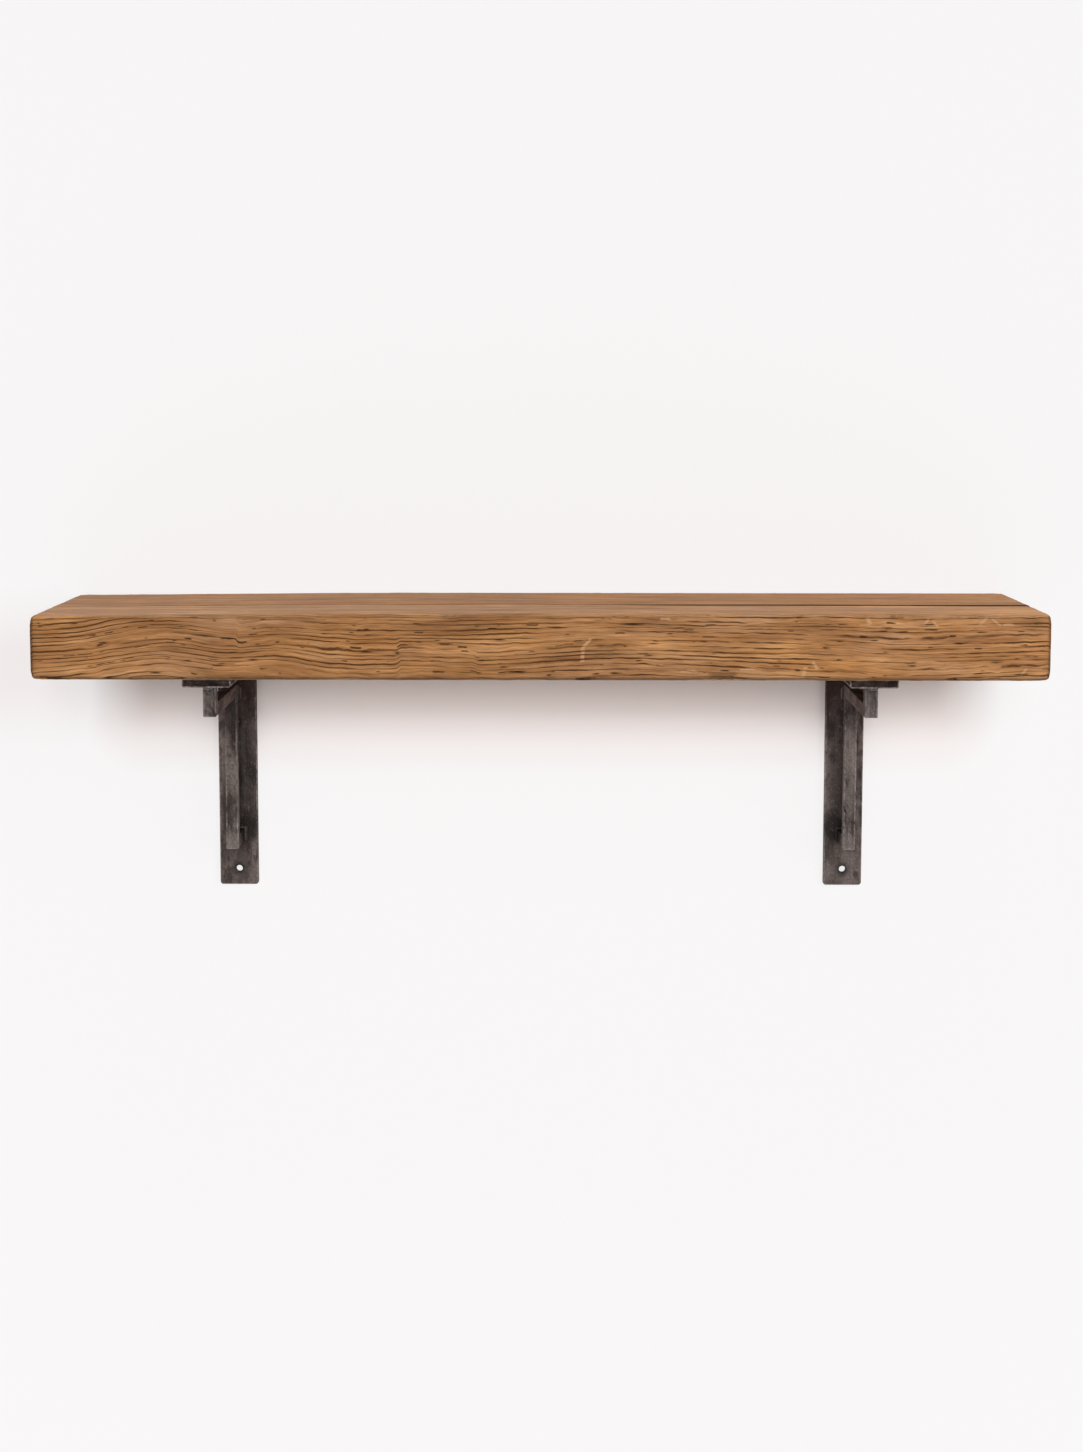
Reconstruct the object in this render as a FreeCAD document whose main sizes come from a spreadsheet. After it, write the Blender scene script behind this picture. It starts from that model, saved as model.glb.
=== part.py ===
"""Bracket wall shelf: a board of two planks on a pair of welded steel brackets. Millimetres.

The origin is the centre of the board's back face, which lies against the wall. +X runs along
the board, +Y points into the wall and +Z is up, so the front of the shelf faces -Y.
"""
import FreeCAD, Part
import math
import os

import Sketcher
from FreeCAD import Placement, Rotation, Vector

# Driving sizes: drops are measured down from the board's underside, stand-offs out from the wall
SIZES = {
    "board_length": 914,
    "board_depth": 254,
    "board_thickness": 60,
    "front_plank_depth": 108,
    "arris_radius": 4,
    "dowel_diameter": 10,
    "dowel_length": 60,
    "dowel_end_inset": 97,
    "dowel_clearance": 0.1,
    "dowel_end_gap": 0.5,
    "bracket_end_inset": 156,
    "bracket_drop": 232,
    "wall_plate_width": 38,
    "wall_plate_thickness": 6,
    "wall_plate_corner_radius": 3,
    "wall_hole_diameter": 6.5,
    "wall_hole_rise": 16,
    "pin_hole_diameter": 3.5,
    "pin_hole_drop": 68.5,
    "hanging_slot_width": 7.5,
    "hanging_slot_height": 16,
    "hanging_slot_drop": 40,
    "shelf_plate_width": 44,
    "shelf_plate_thickness": 8,
    "shelf_plate_setback": 13.5,
    "shelf_plate_edge_radius": 2,
    "bar_size": 12,
    "bar_edge_radius": 1,
    "post_inset": 21.5,
    "arm_drop": 37.5,
    "leg_stand_off": 61,
    "foot_drop": 187,
    "corner_weld_size": 5,
    "rail_weld_size": 3,
    "screw_diameter": 5,
    "screw_length": 42,
    "screw_tip_length": 6,
    "screw_head_diameter": 9.5,
    "screw_head_height": 3,
    "screw_head_chamfer": 1,
    "screw_hole_clearance": 0.25,
    "pilot_clearance": 0.05,
    "pilot_end_gap": 0.5,
    "front_screw_inset": 10.5,
    "rear_screw_stand_off": 92,
    "rear_screw_offset": 14,
}
DOWEL_COUNT = 5
BRACKET_SIDES = {"left": -1, "right": 1}

doc = FreeCAD.newDocument("bracket_wall_shelf")
dim = doc.addObject("Spreadsheet::Sheet", "dim")
for row, (alias, size) in enumerate(SIZES.items(), start=1):
    dim.set(f"A{row}", alias)
    dim.set(f"B{row}", str(size))
    dim.setAlias(f"B{row}", alias)
doc.recompute()

# Levels and stand-offs that several pieces share, as expressions on the sheet
REAR_PLANK_DEPTH = "dim.board_depth - dim.front_plank_depth"
UNDERSIDE = "-dim.board_thickness / 2"
PLATE_UNDERSIDE = f"{UNDERSIDE} - dim.shelf_plate_thickness"
ARM_UNDERSIDE = f"{UNDERSIDE} - dim.arm_drop"
FOOT_UNDERSIDE = f"{UNDERSIDE} - dim.foot_drop"
WALL_PLATE_HEIGHT = "dim.bracket_drop - dim.shelf_plate_thickness"
SHELF_PLATE_LENGTH = "dim.board_depth - dim.shelf_plate_setback"
POST_FRONT = f"{SHELF_PLATE_LENGTH} - dim.post_inset"
POST_BACK = f"{POST_FRONT} - dim.bar_size"
LEG_BACK = "dim.leg_stand_off - dim.bar_size"
FRONT_SCREW_STAND_OFF = f"{SHELF_PLATE_LENGTH} - dim.front_screw_inset"
SCREW_DEPTH_IN_BOARD = "dim.screw_length - dim.shelf_plate_thickness"

# Screws of one bracket: sideways offset from its centre line, or None on it, and stand-off
SCREW_PLACES = [
    (None, FRONT_SCREW_STAND_OFF),
    ("-dim.rear_screw_offset", "dim.rear_screw_stand_off"),
    ("dim.rear_screw_offset", "dim.rear_screw_stand_off"),
]


def number(expression):
    """The value that an expression on the sheet has now."""
    return float(dim.evalExpression(expression))


def bracket_centre(side):
    """Where a bracket's centre line stands along the board."""
    return f"{side} * (dim.board_length / 2 - dim.bracket_end_inset)"


def place(item, x, y, z, rotation=Rotation()):
    """Turns an object once and ties its position to the sheet."""
    item.Placement = Placement(Vector(), rotation)
    for axis, expression in (("x", x), ("y", y), ("z", z)):
        item.setExpression(f"Placement.Base.{axis}", expression)


def new_body(label):
    """An empty body whose label names its file."""
    body = doc.addObject("PartDesign::Body", label)
    body.Label = label
    return body


def new_sketch(body, plane):
    """A sketch on one of the body's own origin planes."""
    sketch = body.newObject("Sketcher::SketchObject", f"{body.Name}_{plane}_sketch")
    support = next(item for item in body.Origin.OriginFeatures if item.Role == plane)
    sketch.AttachmentSupport = [(support, "")]
    sketch.MapMode = "FlatFace"
    return sketch


def hold_point(sketch, geometry, point, x, y):
    """Ties a sketch point to the sheet; None keeps it on that axis of the sketch."""
    for kind, axis, expression in (("DistanceX", -2, x), ("DistanceY", -1, y)):
        if expression is None:
            sketch.addConstraint(Sketcher.Constraint("PointOnObject", geometry, point, axis))
        else:
            rule = Sketcher.Constraint(kind, -1, 1, geometry, point, number(expression))
            sketch.setExpression(f"Constraints[{sketch.addConstraint(rule)}]", expression)


def draw_polygon(sketch, corners):
    """A closed outline through corners given as pairs of expressions."""
    spots = [Vector(*(0 if e is None else number(e) for e in corner), 0) for corner in corners]
    lines = [
        sketch.addGeometry(Part.LineSegment(start, end))
        for start, end in zip(spots, spots[1:] + spots[:1])
    ]
    for line, following in zip(lines, lines[1:] + lines[:1]):
        sketch.addConstraint(Sketcher.Constraint("Coincident", line, 2, following, 1))
    for line, corner in zip(lines, corners):
        hold_point(sketch, line, 1, *corner)


def draw_circle(sketch, x, y, diameter):
    """A circle whose centre and diameter follow the sheet."""
    centre = Vector(*(0 if e is None else number(e) for e in (x, y)), 0)
    circle = sketch.addGeometry(Part.Circle(centre, Vector(0, 0, 1), number(diameter) / 2))
    hold_point(sketch, circle, 3, x, y)
    rule = Sketcher.Constraint("Diameter", circle, number(diameter))
    sketch.setExpression(f"Constraints[{sketch.addConstraint(rule)}]", diameter)


def draw_upright_slot(sketch, middle, width, height):
    """A round-ended slot on the sketch's vertical axis, with its middle at the given height."""
    radius = number(width) / 2
    reach = number(f"({height} - {width}) / 2")
    top, bottom = number(middle) + reach, number(middle) - reach
    normal = Vector(0, 0, 1)
    upper = Part.ArcOfCircle(Part.Circle(Vector(0, top, 0), normal, radius), 0, math.pi)
    lower = Part.ArcOfCircle(Part.Circle(Vector(0, bottom, 0), normal, radius), math.pi, 2 * math.pi)
    left = Part.LineSegment(Vector(-radius, top, 0), Vector(-radius, bottom, 0))
    right = Part.LineSegment(Vector(radius, bottom, 0), Vector(radius, top, 0))
    ring = [sketch.addGeometry(shape) for shape in (upper, left, lower, right)]
    for piece, following in zip(ring, ring[1:] + ring[:1]):
        sketch.addConstraint(Sketcher.Constraint("Tangent", piece, 2, following, 1))
    sketch.addConstraint(Sketcher.Constraint("Equal", ring[0], ring[2]))
    hold_point(sketch, ring[0], 3, None, f"{middle} + ({height} - {width}) / 2")
    hold_point(sketch, ring[2], 3, None, f"{middle} - ({height} - {width}) / 2")
    rule = Sketcher.Constraint("Diameter", ring[0], number(width))
    sketch.setExpression(f"Constraints[{sketch.addConstraint(rule)}]", width)


def pad(body, sketch, length):
    """Raises a sketch along its normal by a length from the sheet."""
    solid = body.newObject("PartDesign::Pad", f"{body.Name}_pad")
    solid.Profile = sketch
    solid.setExpression("Length", length)
    doc.recompute()
    return solid


def cut(body, sketch, depth, along_normal):
    """Sinks a sketch into the body and makes sure that it took material away."""
    before = body.Shape.Volume
    pocket = body.newObject("PartDesign::Pocket", f"{sketch.Name}_pocket")
    pocket.Profile = sketch
    pocket.Reversed = along_normal
    pocket.setExpression("Length", depth)
    doc.recompute()
    if body.Shape.Volume >= before:
        raise RuntimeError(f"{pocket.Name} removed nothing")


def round_edges(body, solid, radius, chosen):
    """Rounds the straight edges of a solid whose middle and direction pass a test."""
    names = []
    for index, edge in enumerate(solid.Shape.Edges, start=1):
        start, end = edge.Vertexes[0].Point, edge.Vertexes[-1].Point
        if chosen((start + end) / 2, (end - start).normalize()):
            names.append(f"Edge{index}")
    fillet = body.newObject("PartDesign::Fillet", f"{body.Name}_fillet")
    fillet.Base = (solid, names)
    fillet.setExpression("Radius", radius)
    doc.recompute()


def group(label, members):
    """Separate solids of one kind kept together under one label."""
    compound = doc.addObject("Part::Compound", label)
    compound.Label = label
    compound.Links = members
    return compound


# Board

def make_plank(label, depth, outward):
    """A plank drawn from the seam line: outward is -1 towards the front, 1 towards the wall."""
    body = new_body(label)
    reach = f"{outward} * ({depth})"
    half = "dim.board_length / 2"
    outline = new_sketch(body, "XY_Plane")
    draw_polygon(outline, [(f"-{half}", None), (half, None), (half, reach), (f"-{half}", reach)])
    block = pad(body, outline, "dim.board_thickness")
    seam_tolerance = 1e-6
    round_edges(body, block, "dim.arris_radius", lambda middle, _: abs(middle.y) > seam_tolerance)

    dowel_holes = new_sketch(body, "XZ_Plane")
    bore = "dim.dowel_diameter + 2 * dim.dowel_clearance"
    for x in DOWEL_PLACES:
        draw_circle(dowel_holes, x, "dim.board_thickness / 2", bore)
    cut(body, dowel_holes, "dim.dowel_length / 2 + dim.dowel_end_gap", outward < 0)

    pilot_holes = new_sketch(body, "XY_Plane")
    bore = "dim.screw_diameter + 2 * dim.pilot_clearance"
    for side in BRACKET_SIDES.values():
        for offset, stand_off in SCREW_PLACES:
            x = f"{bracket_centre(side)} + ({offset or 0})"
            draw_circle(pilot_holes, x, f"{REAR_PLANK_DEPTH} - ({stand_off})", bore)
    cut(body, pilot_holes, f"{SCREW_DEPTH_IN_BOARD} + dim.pilot_end_gap", True)
    place(body, "0", f"-({REAR_PLANK_DEPTH})", UNDERSIDE)
    return body


def make_dowels():
    """Wooden dowels that cross the seam, lying front to back."""
    front_to_back = Rotation(Vector(1, 0, 0), -90)
    dowels = []
    for index, x in enumerate(DOWEL_PLACES, start=1):
        dowel = doc.addObject("Part::Cylinder", f"seam_dowel_{index}")
        dowel.setExpression("Radius", "dim.dowel_diameter / 2")
        dowel.setExpression("Height", "dim.dowel_length")
        start = f"-({REAR_PLANK_DEPTH}) - dim.dowel_length / 2"
        place(dowel, x or "0", start, "0", front_to_back)
        dowels.append(dowel)
    return group("seam_dowels", dowels)


MIDDLE_DOWEL = (DOWEL_COUNT - 1) / 2
DOWEL_SPACING = f"(dim.board_length - 2 * dim.dowel_end_inset) / {DOWEL_COUNT - 1}"
DOWEL_PLACES = [
    f"{index - MIDDLE_DOWEL} * {DOWEL_SPACING}" if index != MIDDLE_DOWEL else None
    for index in range(DOWEL_COUNT)
]
nodes = [
    make_plank("front_plank", "dim.front_plank_depth", -1),
    make_plank("rear_plank", REAR_PLANK_DEPTH, 1),
    make_dowels(),
]


# Brackets

def make_wall_plate(label, centre):
    """The upright flat bar, from under the shelf plate down, with its wall openings."""
    body = new_body(label)
    half = "dim.wall_plate_width / 2"
    foot = f"-({WALL_PLATE_HEIGHT})"
    outline = new_sketch(body, "XZ_Plane")
    draw_polygon(outline, [(f"-{half}", None), (half, None), (half, foot), (f"-{half}", foot)])
    flat = pad(body, outline, "dim.wall_plate_thickness")
    lowest = flat.Shape.BoundBox.ZMin / 2
    round_edges(
        body, flat, "dim.wall_plate_corner_radius",
        lambda middle, along: middle.z < lowest and abs(along.y) > 0.5,
    )

    openings = new_sketch(body, "XZ_Plane")
    to_board = "dim.shelf_plate_thickness"
    draw_circle(openings, None, f"{foot} + dim.wall_hole_rise", "dim.wall_hole_diameter")
    draw_circle(openings, None, f"{to_board} - dim.pin_hole_drop", "dim.pin_hole_diameter")
    draw_upright_slot(
        openings, f"{to_board} - dim.hanging_slot_drop",
        "dim.hanging_slot_width", "dim.hanging_slot_height",
    )
    cut(body, openings, "dim.wall_plate_thickness", True)
    place(body, centre, "0", PLATE_UNDERSIDE)
    return body


def make_shelf_plate(label, centre):
    """The flat bar under the board, from the wall forward, drilled for the board's screws."""
    body = new_body(label)
    half = "dim.shelf_plate_width / 2"
    front = f"-({SHELF_PLATE_LENGTH})"
    outline = new_sketch(body, "XY_Plane")
    draw_polygon(outline, [(f"-{half}", None), (half, None), (half, front), (f"-{half}", front)])
    flat = pad(body, outline, "dim.shelf_plate_thickness")
    round_edges(
        body, flat, "dim.shelf_plate_edge_radius", lambda _, along: abs(along.y) > 0.5
    )

    screw_holes = new_sketch(body, "XY_Plane")
    bore = "dim.screw_diameter + 2 * dim.screw_hole_clearance"
    for offset, stand_off in SCREW_PLACES:
        draw_circle(screw_holes, offset, f"-({stand_off})", bore)
    cut(body, screw_holes, "dim.shelf_plate_thickness", True)
    place(body, centre, "0", PLATE_UNDERSIDE)
    return body


def make_bar(label, length, x, y, z, rotation=Rotation()):
    """A length of square bar with eased edges, standing on x, y, z unless turned."""
    body = new_body(label)
    half = "dim.bar_size / 2"
    section = new_sketch(body, "XY_Plane")
    draw_polygon(
        section, [(f"-{half}", f"-{half}"), (half, f"-{half}"), (half, half), (f"-{half}", half)]
    )
    stock = pad(body, section, length)
    round_edges(body, stock, "dim.bar_edge_radius", lambda _, along: abs(along.z) > 0.5)
    place(body, x, y, z, rotation)
    return body


def make_bead(name, size, length, corner, across, run):
    """A quarter-round weld bead: it starts at a corner and swells towards two directions."""
    bead = doc.addObject("Part::Cylinder", name)
    bead.Angle = 90
    bead.setExpression("Radius", size)
    bead.setExpression("Height", length)
    place(bead, *corner, Rotation(across, run.cross(across), run, "ZXY"))
    return bead


def make_rail_welds(label, side_name, centre):
    """Beads of the inner rail: under the shelf plate, in its two bends and round its foot."""
    half = "dim.bar_size / 2"
    bar_left = f"{centre} - {half}"
    bar_right = f"{centre} + {half}"
    plate_front = "-dim.wall_plate_thickness"
    arm_top = f"{ARM_UNDERSIDE} + dim.bar_size"
    foot_top = f"{FOOT_UNDERSIDE} + dim.bar_size"
    along_x, along_y, along_z = Vector(1, 0, 0), Vector(0, 1, 0), Vector(0, 0, 1)
    seats = {
        "post_top": ((bar_left, f"-({POST_BACK})", PLATE_UNDERSIDE), -along_z, along_x),
        "post_bend": ((bar_left, f"-({POST_BACK})", arm_top), along_y, along_x),
        "foot_bend": ((bar_left, f"-({LEG_BACK})", foot_top), along_y, along_x),
        "foot_top": ((bar_left, plate_front, foot_top), along_z, along_x),
        "foot_left": ((bar_left, plate_front, FOOT_UNDERSIDE), -along_x, along_z),
        "foot_right": ((bar_right, plate_front, FOOT_UNDERSIDE), -along_y, along_z),
    }
    beads = [
        make_bead(f"{side_name}_{seat}_bead", "dim.rail_weld_size", "dim.bar_size", *how)
        for seat, how in seats.items()
    ]
    return group(label, beads)


def make_corner_weld(label, centre):
    """The bead in the inner corner of the wall plate and the shelf plate."""
    start = f"{centre} - dim.wall_plate_width / 2"
    corner = (start, "-dim.wall_plate_thickness", PLATE_UNDERSIDE)
    across, run = Vector(0, -1, 0), Vector(1, 0, 0)
    return make_bead(label, "dim.corner_weld_size", "dim.wall_plate_width", corner, across, run)


def make_screw(name, x, y):
    """A wood screw that points up, with its head under the shelf plate."""
    body = new_body(name)
    shank, head = "dim.screw_diameter / 2", "dim.screw_head_diameter / 2"
    profile = new_sketch(body, "XZ_Plane")
    draw_polygon(profile, [
        (None, "-dim.screw_head_height"),
        (f"{head} - dim.screw_head_chamfer", "-dim.screw_head_height"),
        (head, "dim.screw_head_chamfer - dim.screw_head_height"),
        (head, None),
        (shank, None),
        (shank, "dim.screw_length - dim.screw_tip_length"),
        (None, "dim.screw_length"),
    ])
    turned = body.newObject("PartDesign::Revolution", f"{name}_turned")
    turned.Profile = profile
    turned.ReferenceAxis = (profile, ["V_Axis"])
    turned.Angle = 360
    doc.recompute()
    place(body, x, y, PLATE_UNDERSIDE)
    return body


def make_bracket(side_name, side):
    """Every piece of one bracket, with the screws that hold the board to it."""
    centre = bracket_centre(side)
    to_wall = Rotation(Vector(1, 0, 0), -90)
    half = "dim.bar_size / 2"
    screws = [
        make_screw(f"{side_name}_screw_{index}", f"{centre} + ({offset or 0})", f"-({stand_off})")
        for index, (offset, stand_off) in enumerate(SCREW_PLACES, start=1)
    ]
    return [
        make_wall_plate(f"{side_name}_wall_plate", centre),
        make_shelf_plate(f"{side_name}_shelf_plate", centre),
        make_bar(
            f"{side_name}_front_post", "dim.arm_drop - dim.shelf_plate_thickness",
            centre, f"{half} - ({POST_FRONT})", ARM_UNDERSIDE,
        ),
        make_bar(
            f"{side_name}_arm_bar", f"{POST_BACK} - ({LEG_BACK})",
            centre, f"-({POST_BACK})", f"{ARM_UNDERSIDE} + {half}", to_wall,
        ),
        make_bar(
            f"{side_name}_leg_bar", "dim.foot_drop - dim.arm_drop",
            centre, f"{half} - dim.leg_stand_off", FOOT_UNDERSIDE,
        ),
        make_bar(
            f"{side_name}_foot_bar", f"{LEG_BACK} - dim.wall_plate_thickness",
            centre, f"-({LEG_BACK})", f"{FOOT_UNDERSIDE} + {half}", to_wall,
        ),
        make_corner_weld(f"{side_name}_corner_weld", centre),
        make_rail_welds(f"{side_name}_rail_welds", side_name, centre),
        group(f"{side_name}_shelf_screws", screws),
    ]


for bracket_name, bracket_side in BRACKET_SIDES.items():
    nodes += make_bracket(bracket_name, bracket_side)
doc.recompute()

# Check everything, then write one file for each sub-part
for item in doc.Objects:
    if "Invalid" in item.State or "Error" in item.State:
        raise RuntimeError(f"{item.Label} did not build: {item.State}")
for node in nodes:
    if node.Shape.isNull() or not node.Shape.isValid():
        raise RuntimeError(f"{node.Label} has no valid shape")

os.makedirs("parts", exist_ok=True)
for node in nodes:
    node.Shape.exportStep(os.path.join("parts", f"{node.Label}.step"))
    print(f"{node.Label}: {len(node.Shape.Solids)} solids, {node.Shape.Volume:.0f} mm3")
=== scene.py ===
# %% [markdown]
# # A bracket wall shelf, dressed in Blender
#
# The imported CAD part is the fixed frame: two planks, two welded brackets, their welds and screws,
# all at their real size in metres. This lesson keeps every piece where the frame has it and gives
# it the surface of the real thing: weathered pine with furrows cut by the weather, and dark
# hot-rolled steel with worn edges. The front of the shelf faces -Y and the wall is the plane Y = 0.

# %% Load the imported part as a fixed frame
import math

import bmesh
import bpy
from mathutils import Matrix, Vector, noise


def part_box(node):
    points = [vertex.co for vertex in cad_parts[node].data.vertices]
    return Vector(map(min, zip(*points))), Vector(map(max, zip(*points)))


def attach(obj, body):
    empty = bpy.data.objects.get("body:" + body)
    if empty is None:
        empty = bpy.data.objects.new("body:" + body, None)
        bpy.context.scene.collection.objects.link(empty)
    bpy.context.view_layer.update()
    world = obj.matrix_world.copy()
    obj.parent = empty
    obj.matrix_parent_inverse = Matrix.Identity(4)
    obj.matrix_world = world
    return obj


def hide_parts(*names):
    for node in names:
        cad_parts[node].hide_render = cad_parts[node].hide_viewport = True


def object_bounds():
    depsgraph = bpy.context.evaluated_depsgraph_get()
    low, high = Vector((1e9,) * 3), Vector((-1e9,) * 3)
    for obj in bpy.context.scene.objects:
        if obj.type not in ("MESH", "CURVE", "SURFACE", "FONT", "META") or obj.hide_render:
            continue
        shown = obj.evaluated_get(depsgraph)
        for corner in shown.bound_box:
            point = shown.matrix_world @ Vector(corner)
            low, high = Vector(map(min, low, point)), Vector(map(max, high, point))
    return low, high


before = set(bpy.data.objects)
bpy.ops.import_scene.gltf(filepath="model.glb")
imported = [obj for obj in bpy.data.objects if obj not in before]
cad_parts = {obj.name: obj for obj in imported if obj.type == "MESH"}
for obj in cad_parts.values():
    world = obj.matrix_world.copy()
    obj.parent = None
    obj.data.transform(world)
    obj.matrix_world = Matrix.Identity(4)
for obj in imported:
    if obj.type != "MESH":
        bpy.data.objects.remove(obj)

cad_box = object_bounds()
scene = bpy.context.scene
scene.view_settings.view_transform = "Standard"
MM = 0.001
box_size = [round(size / MM) for size in cad_box[1] - cad_box[0]]
print("frame of", len(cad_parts), "nodes, box in mm:", box_size)

# %% [markdown]
# ## Camera
#
# A photograph can be matched by eye or by measuring. Here the place, the pitch and the lens were
# worked out from the board's corners and the brackets' edges, so no lens shift is needed. Blender's
# sensor width belongs to the longer side of the picture, which is upright here.

# %% Camera
PICTURE_SIZE = (1083, 1452)
FOCAL_LENGTH_PX = 2631.2
SENSOR_MM = 36.0
CAMERA_PLACE = Vector((6.7, -2594.9, 228.5)) * MM
CAMERA_PITCH = math.radians(7.282)
CAMERA_YAW = math.radians(0.143)
CAMERA_ROLL = math.radians(-0.061)

camera_data = bpy.data.cameras.new("shelf_camera")
camera_data.sensor_width = SENSOR_MM
camera_data.lens = FOCAL_LENGTH_PX / max(PICTURE_SIZE) * SENSOR_MM
camera = bpy.data.objects.new("shelf_camera", camera_data)
camera.location = CAMERA_PLACE
camera.rotation_euler = (math.pi / 2 - CAMERA_PITCH, CAMERA_ROLL, CAMERA_YAW)
scene.collection.objects.link(camera)
scene.camera = camera
print("lens", round(camera_data.lens, 2), "mm")

# %% [markdown]
# ## Node helpers
#
# A material is a small graph. These helpers keep the graphs readable: the first two add a node and
# feed its sockets, and the others wrap the nodes that come up most often.

# %% Adding nodes
def feed(tree, node, inputs):
    """Gives a node's inputs plain values, or links them to other nodes' outputs."""
    for name, value in inputs.items():
        if isinstance(value, bpy.types.NodeSocket):
            tree.links.new(value, node.inputs[name])
        else:
            node.inputs[name].default_value = value


def add_node(tree, kind, inputs=None, **settings):
    """Adds a node with its settings and feeds its inputs."""
    node = tree.nodes.new(kind)
    for name, value in settings.items():
        setattr(node, name, value)
    feed(tree, node, inputs or {})
    return node


def new_material(name):
    """A material with its Principled shader, ready to be filled."""
    material = bpy.data.materials.new(name)
    material.use_nodes = True
    tree = material.node_tree
    return material, tree, tree.nodes["Principled BSDF"]


print("nodes can be added and fed")

# %% Values and vectors
def calculate(tree, operation, first, second=0.0, third=0.0, clamp=False):
    """A Math node's result. MULTIPLY_ADD gives the first times the second, plus the third."""
    inputs = {0: first, 1: second, 2: third}
    return add_node(tree, "ShaderNodeMath", inputs, operation=operation, use_clamp=clamp).outputs[0]


def vector_math(tree, operation, first, second=(0, 0, 0)):
    """A Vector Math node's outputs: the vector is the first, and a length is called Value."""
    return add_node(tree, "ShaderNodeVectorMath", {0: first, 1: second}, operation=operation).outputs


def remap(tree, value, low, high, new_low=0.0, new_high=1.0):
    """Stretches a value's range, clamped."""
    inputs = {0: value, 1: low, 2: high, 3: new_low, 4: new_high}
    return add_node(tree, "ShaderNodeMapRange", inputs).outputs[0]


def off_middle(tree, value, middle, half):
    """How far a value is from a middle, as a share of a half size."""
    offset = calculate(tree, "SUBTRACT", value, middle)
    return calculate(tree, "ABSOLUTE", calculate(tree, "DIVIDE", offset, half))


def axes_of(tree, place):
    """A vector's X, Y and Z."""
    return add_node(tree, "ShaderNodeSeparateXYZ", {0: place}).outputs


def vector_of(tree, x, y, z=0.0):
    """A vector from its X, Y and Z."""
    return add_node(tree, "ShaderNodeCombineXYZ", {0: x, 1: y, 2: z}).outputs[0]


def mapped(tree, place, **change):
    """Coordinates that are moved, turned or scaled."""
    return add_node(tree, "ShaderNodeMapping", {"Vector": place, **change}).outputs[0]


def fold_sides(tree, place):
    """The place with X counted from the middle, the same on both sides."""
    axes = axes_of(tree, place)
    return vector_of(tree, calculate(tree, "ABSOLUTE", axes[0]), axes[1], axes[2])


print("values and vectors can be worked out")

# %% Places, noise and colours
def object_place(tree):
    """The place on the piece, in metres."""
    return add_node(tree, "ShaderNodeTexCoord").outputs["Object"]


def attribute(tree, name):
    """The value that a piece's own mesh carries under a name."""
    return add_node(tree, "ShaderNodeAttribute", attribute_name=name).outputs["Fac"]


def stretched_noise(tree, place, scale, detail=4.0, roughness=0.55, offset=(0, 0, 0)):
    """Noise on coordinates that are scaled by a different amount along each axis."""
    stretched = mapped(tree, place, Scale=scale, Location=offset)
    inputs = {"Vector": stretched, "Scale": 1.0, "Detail": detail, "Roughness": roughness}
    return add_node(tree, "ShaderNodeTexNoise", inputs).outputs[0]


def blend_colours(tree, factor, first, second, how="MIX"):
    """A colour between two others. The Mix node keeps its colour sockets at 6 and 7."""
    inputs = {0: factor, 6: first, 7: second}
    return add_node(tree, "ShaderNodeMix", inputs, data_type="RGBA", blend_type=how).outputs[2]


def colour_ramp(tree, factor, stops):
    """A colour that follows a value through stops of (position, colour)."""
    node = add_node(tree, "ShaderNodeValToRGB", {0: factor})
    elements = node.color_ramp.elements
    while len(elements) < len(stops):
        elements.new(1.0)
    for element, (position, colour) in zip(elements, stops):
        element.position = position
        element.color = (*colour, 1.0)
    return node.outputs[0]


print("places, noise and colours can be used")

# %% [markdown]
# ## Studio
#
# The shelf hangs on a pale wall, so the wall is the backdrop and a pale floor lies far below. Seen
# from behind, a wall would hide the part, so its material lets rays through from its back and casts
# no shadow. Part of its brightness is its own, which keeps it even, and the rest is light that falls
# on it. Its own part fades out behind the board and left of it, and a darker, warmer painted shade is
# blended into its colour there, so that the soft shadow stays deep. A dark strip behind each slot is
# painted shade between the wall plate and the wall.

# %% Wall paint
WALL_COLOUR = (0.925, 0.916, 0.922, 1.0)
SHADE_COLOUR = (0.83, 0.78, 0.776, 1.0)
STRIP_COLOUR = (0.2, 0.17, 0.165, 1.0)
FLOOR_COLOUR = (0.72, 0.71, 0.7, 1.0)
GLOW_FAR, GLOW_NEAR = 0.75, 0.0
# Soft oblongs on the wall, in mm: middle, half size, and how far their edge fades
SHADE = ((0, 0, -62), (392, 1000, 25), 66)
SIDE_SHADE = ((-545, 0, -46), (60, 1000, 18), 64)
DARK_STRIP = ((308.2, 0, -76), (9.8, 1000, 34), 0.4)
SIDE_OPEN = 0.58


def outside_oblong(tree, place, middle, half_size, fade):
    """0 inside an upright oblong on the wall and 1 outside it."""
    offset = vector_math(tree, "SUBTRACT", place, Vector(middle) * MM)[0]
    offset = vector_math(tree, "ABSOLUTE", offset)[0]
    beyond = vector_math(tree, "SUBTRACT", offset, Vector(half_size) * MM)[0]
    beyond = vector_math(tree, "MAXIMUM", beyond)[0]
    return remap(tree, vector_math(tree, "LENGTH", beyond)["Value"], 0.0, fade * MM)


def shade_wall(tree, colour):
    """The wall's colour and its share of own light, both lower in the board's shade."""
    place = object_place(tree)
    folded = fold_sides(tree, place)
    beside = remap(tree, outside_oblong(tree, place, *SIDE_SHADE), 0.0, 1.0, SIDE_OPEN, 1.0)
    in_the_open = calculate(tree, "MINIMUM", outside_oblong(tree, folded, *SHADE), beside)
    colour = blend_colours(tree, in_the_open, SHADE_COLOUR, colour)
    colour = blend_colours(tree, outside_oblong(tree, folded, *DARK_STRIP), STRIP_COLOUR, colour)
    return colour, remap(tree, in_the_open, 0.0, 1.0, GLOW_NEAR, GLOW_FAR)


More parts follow.
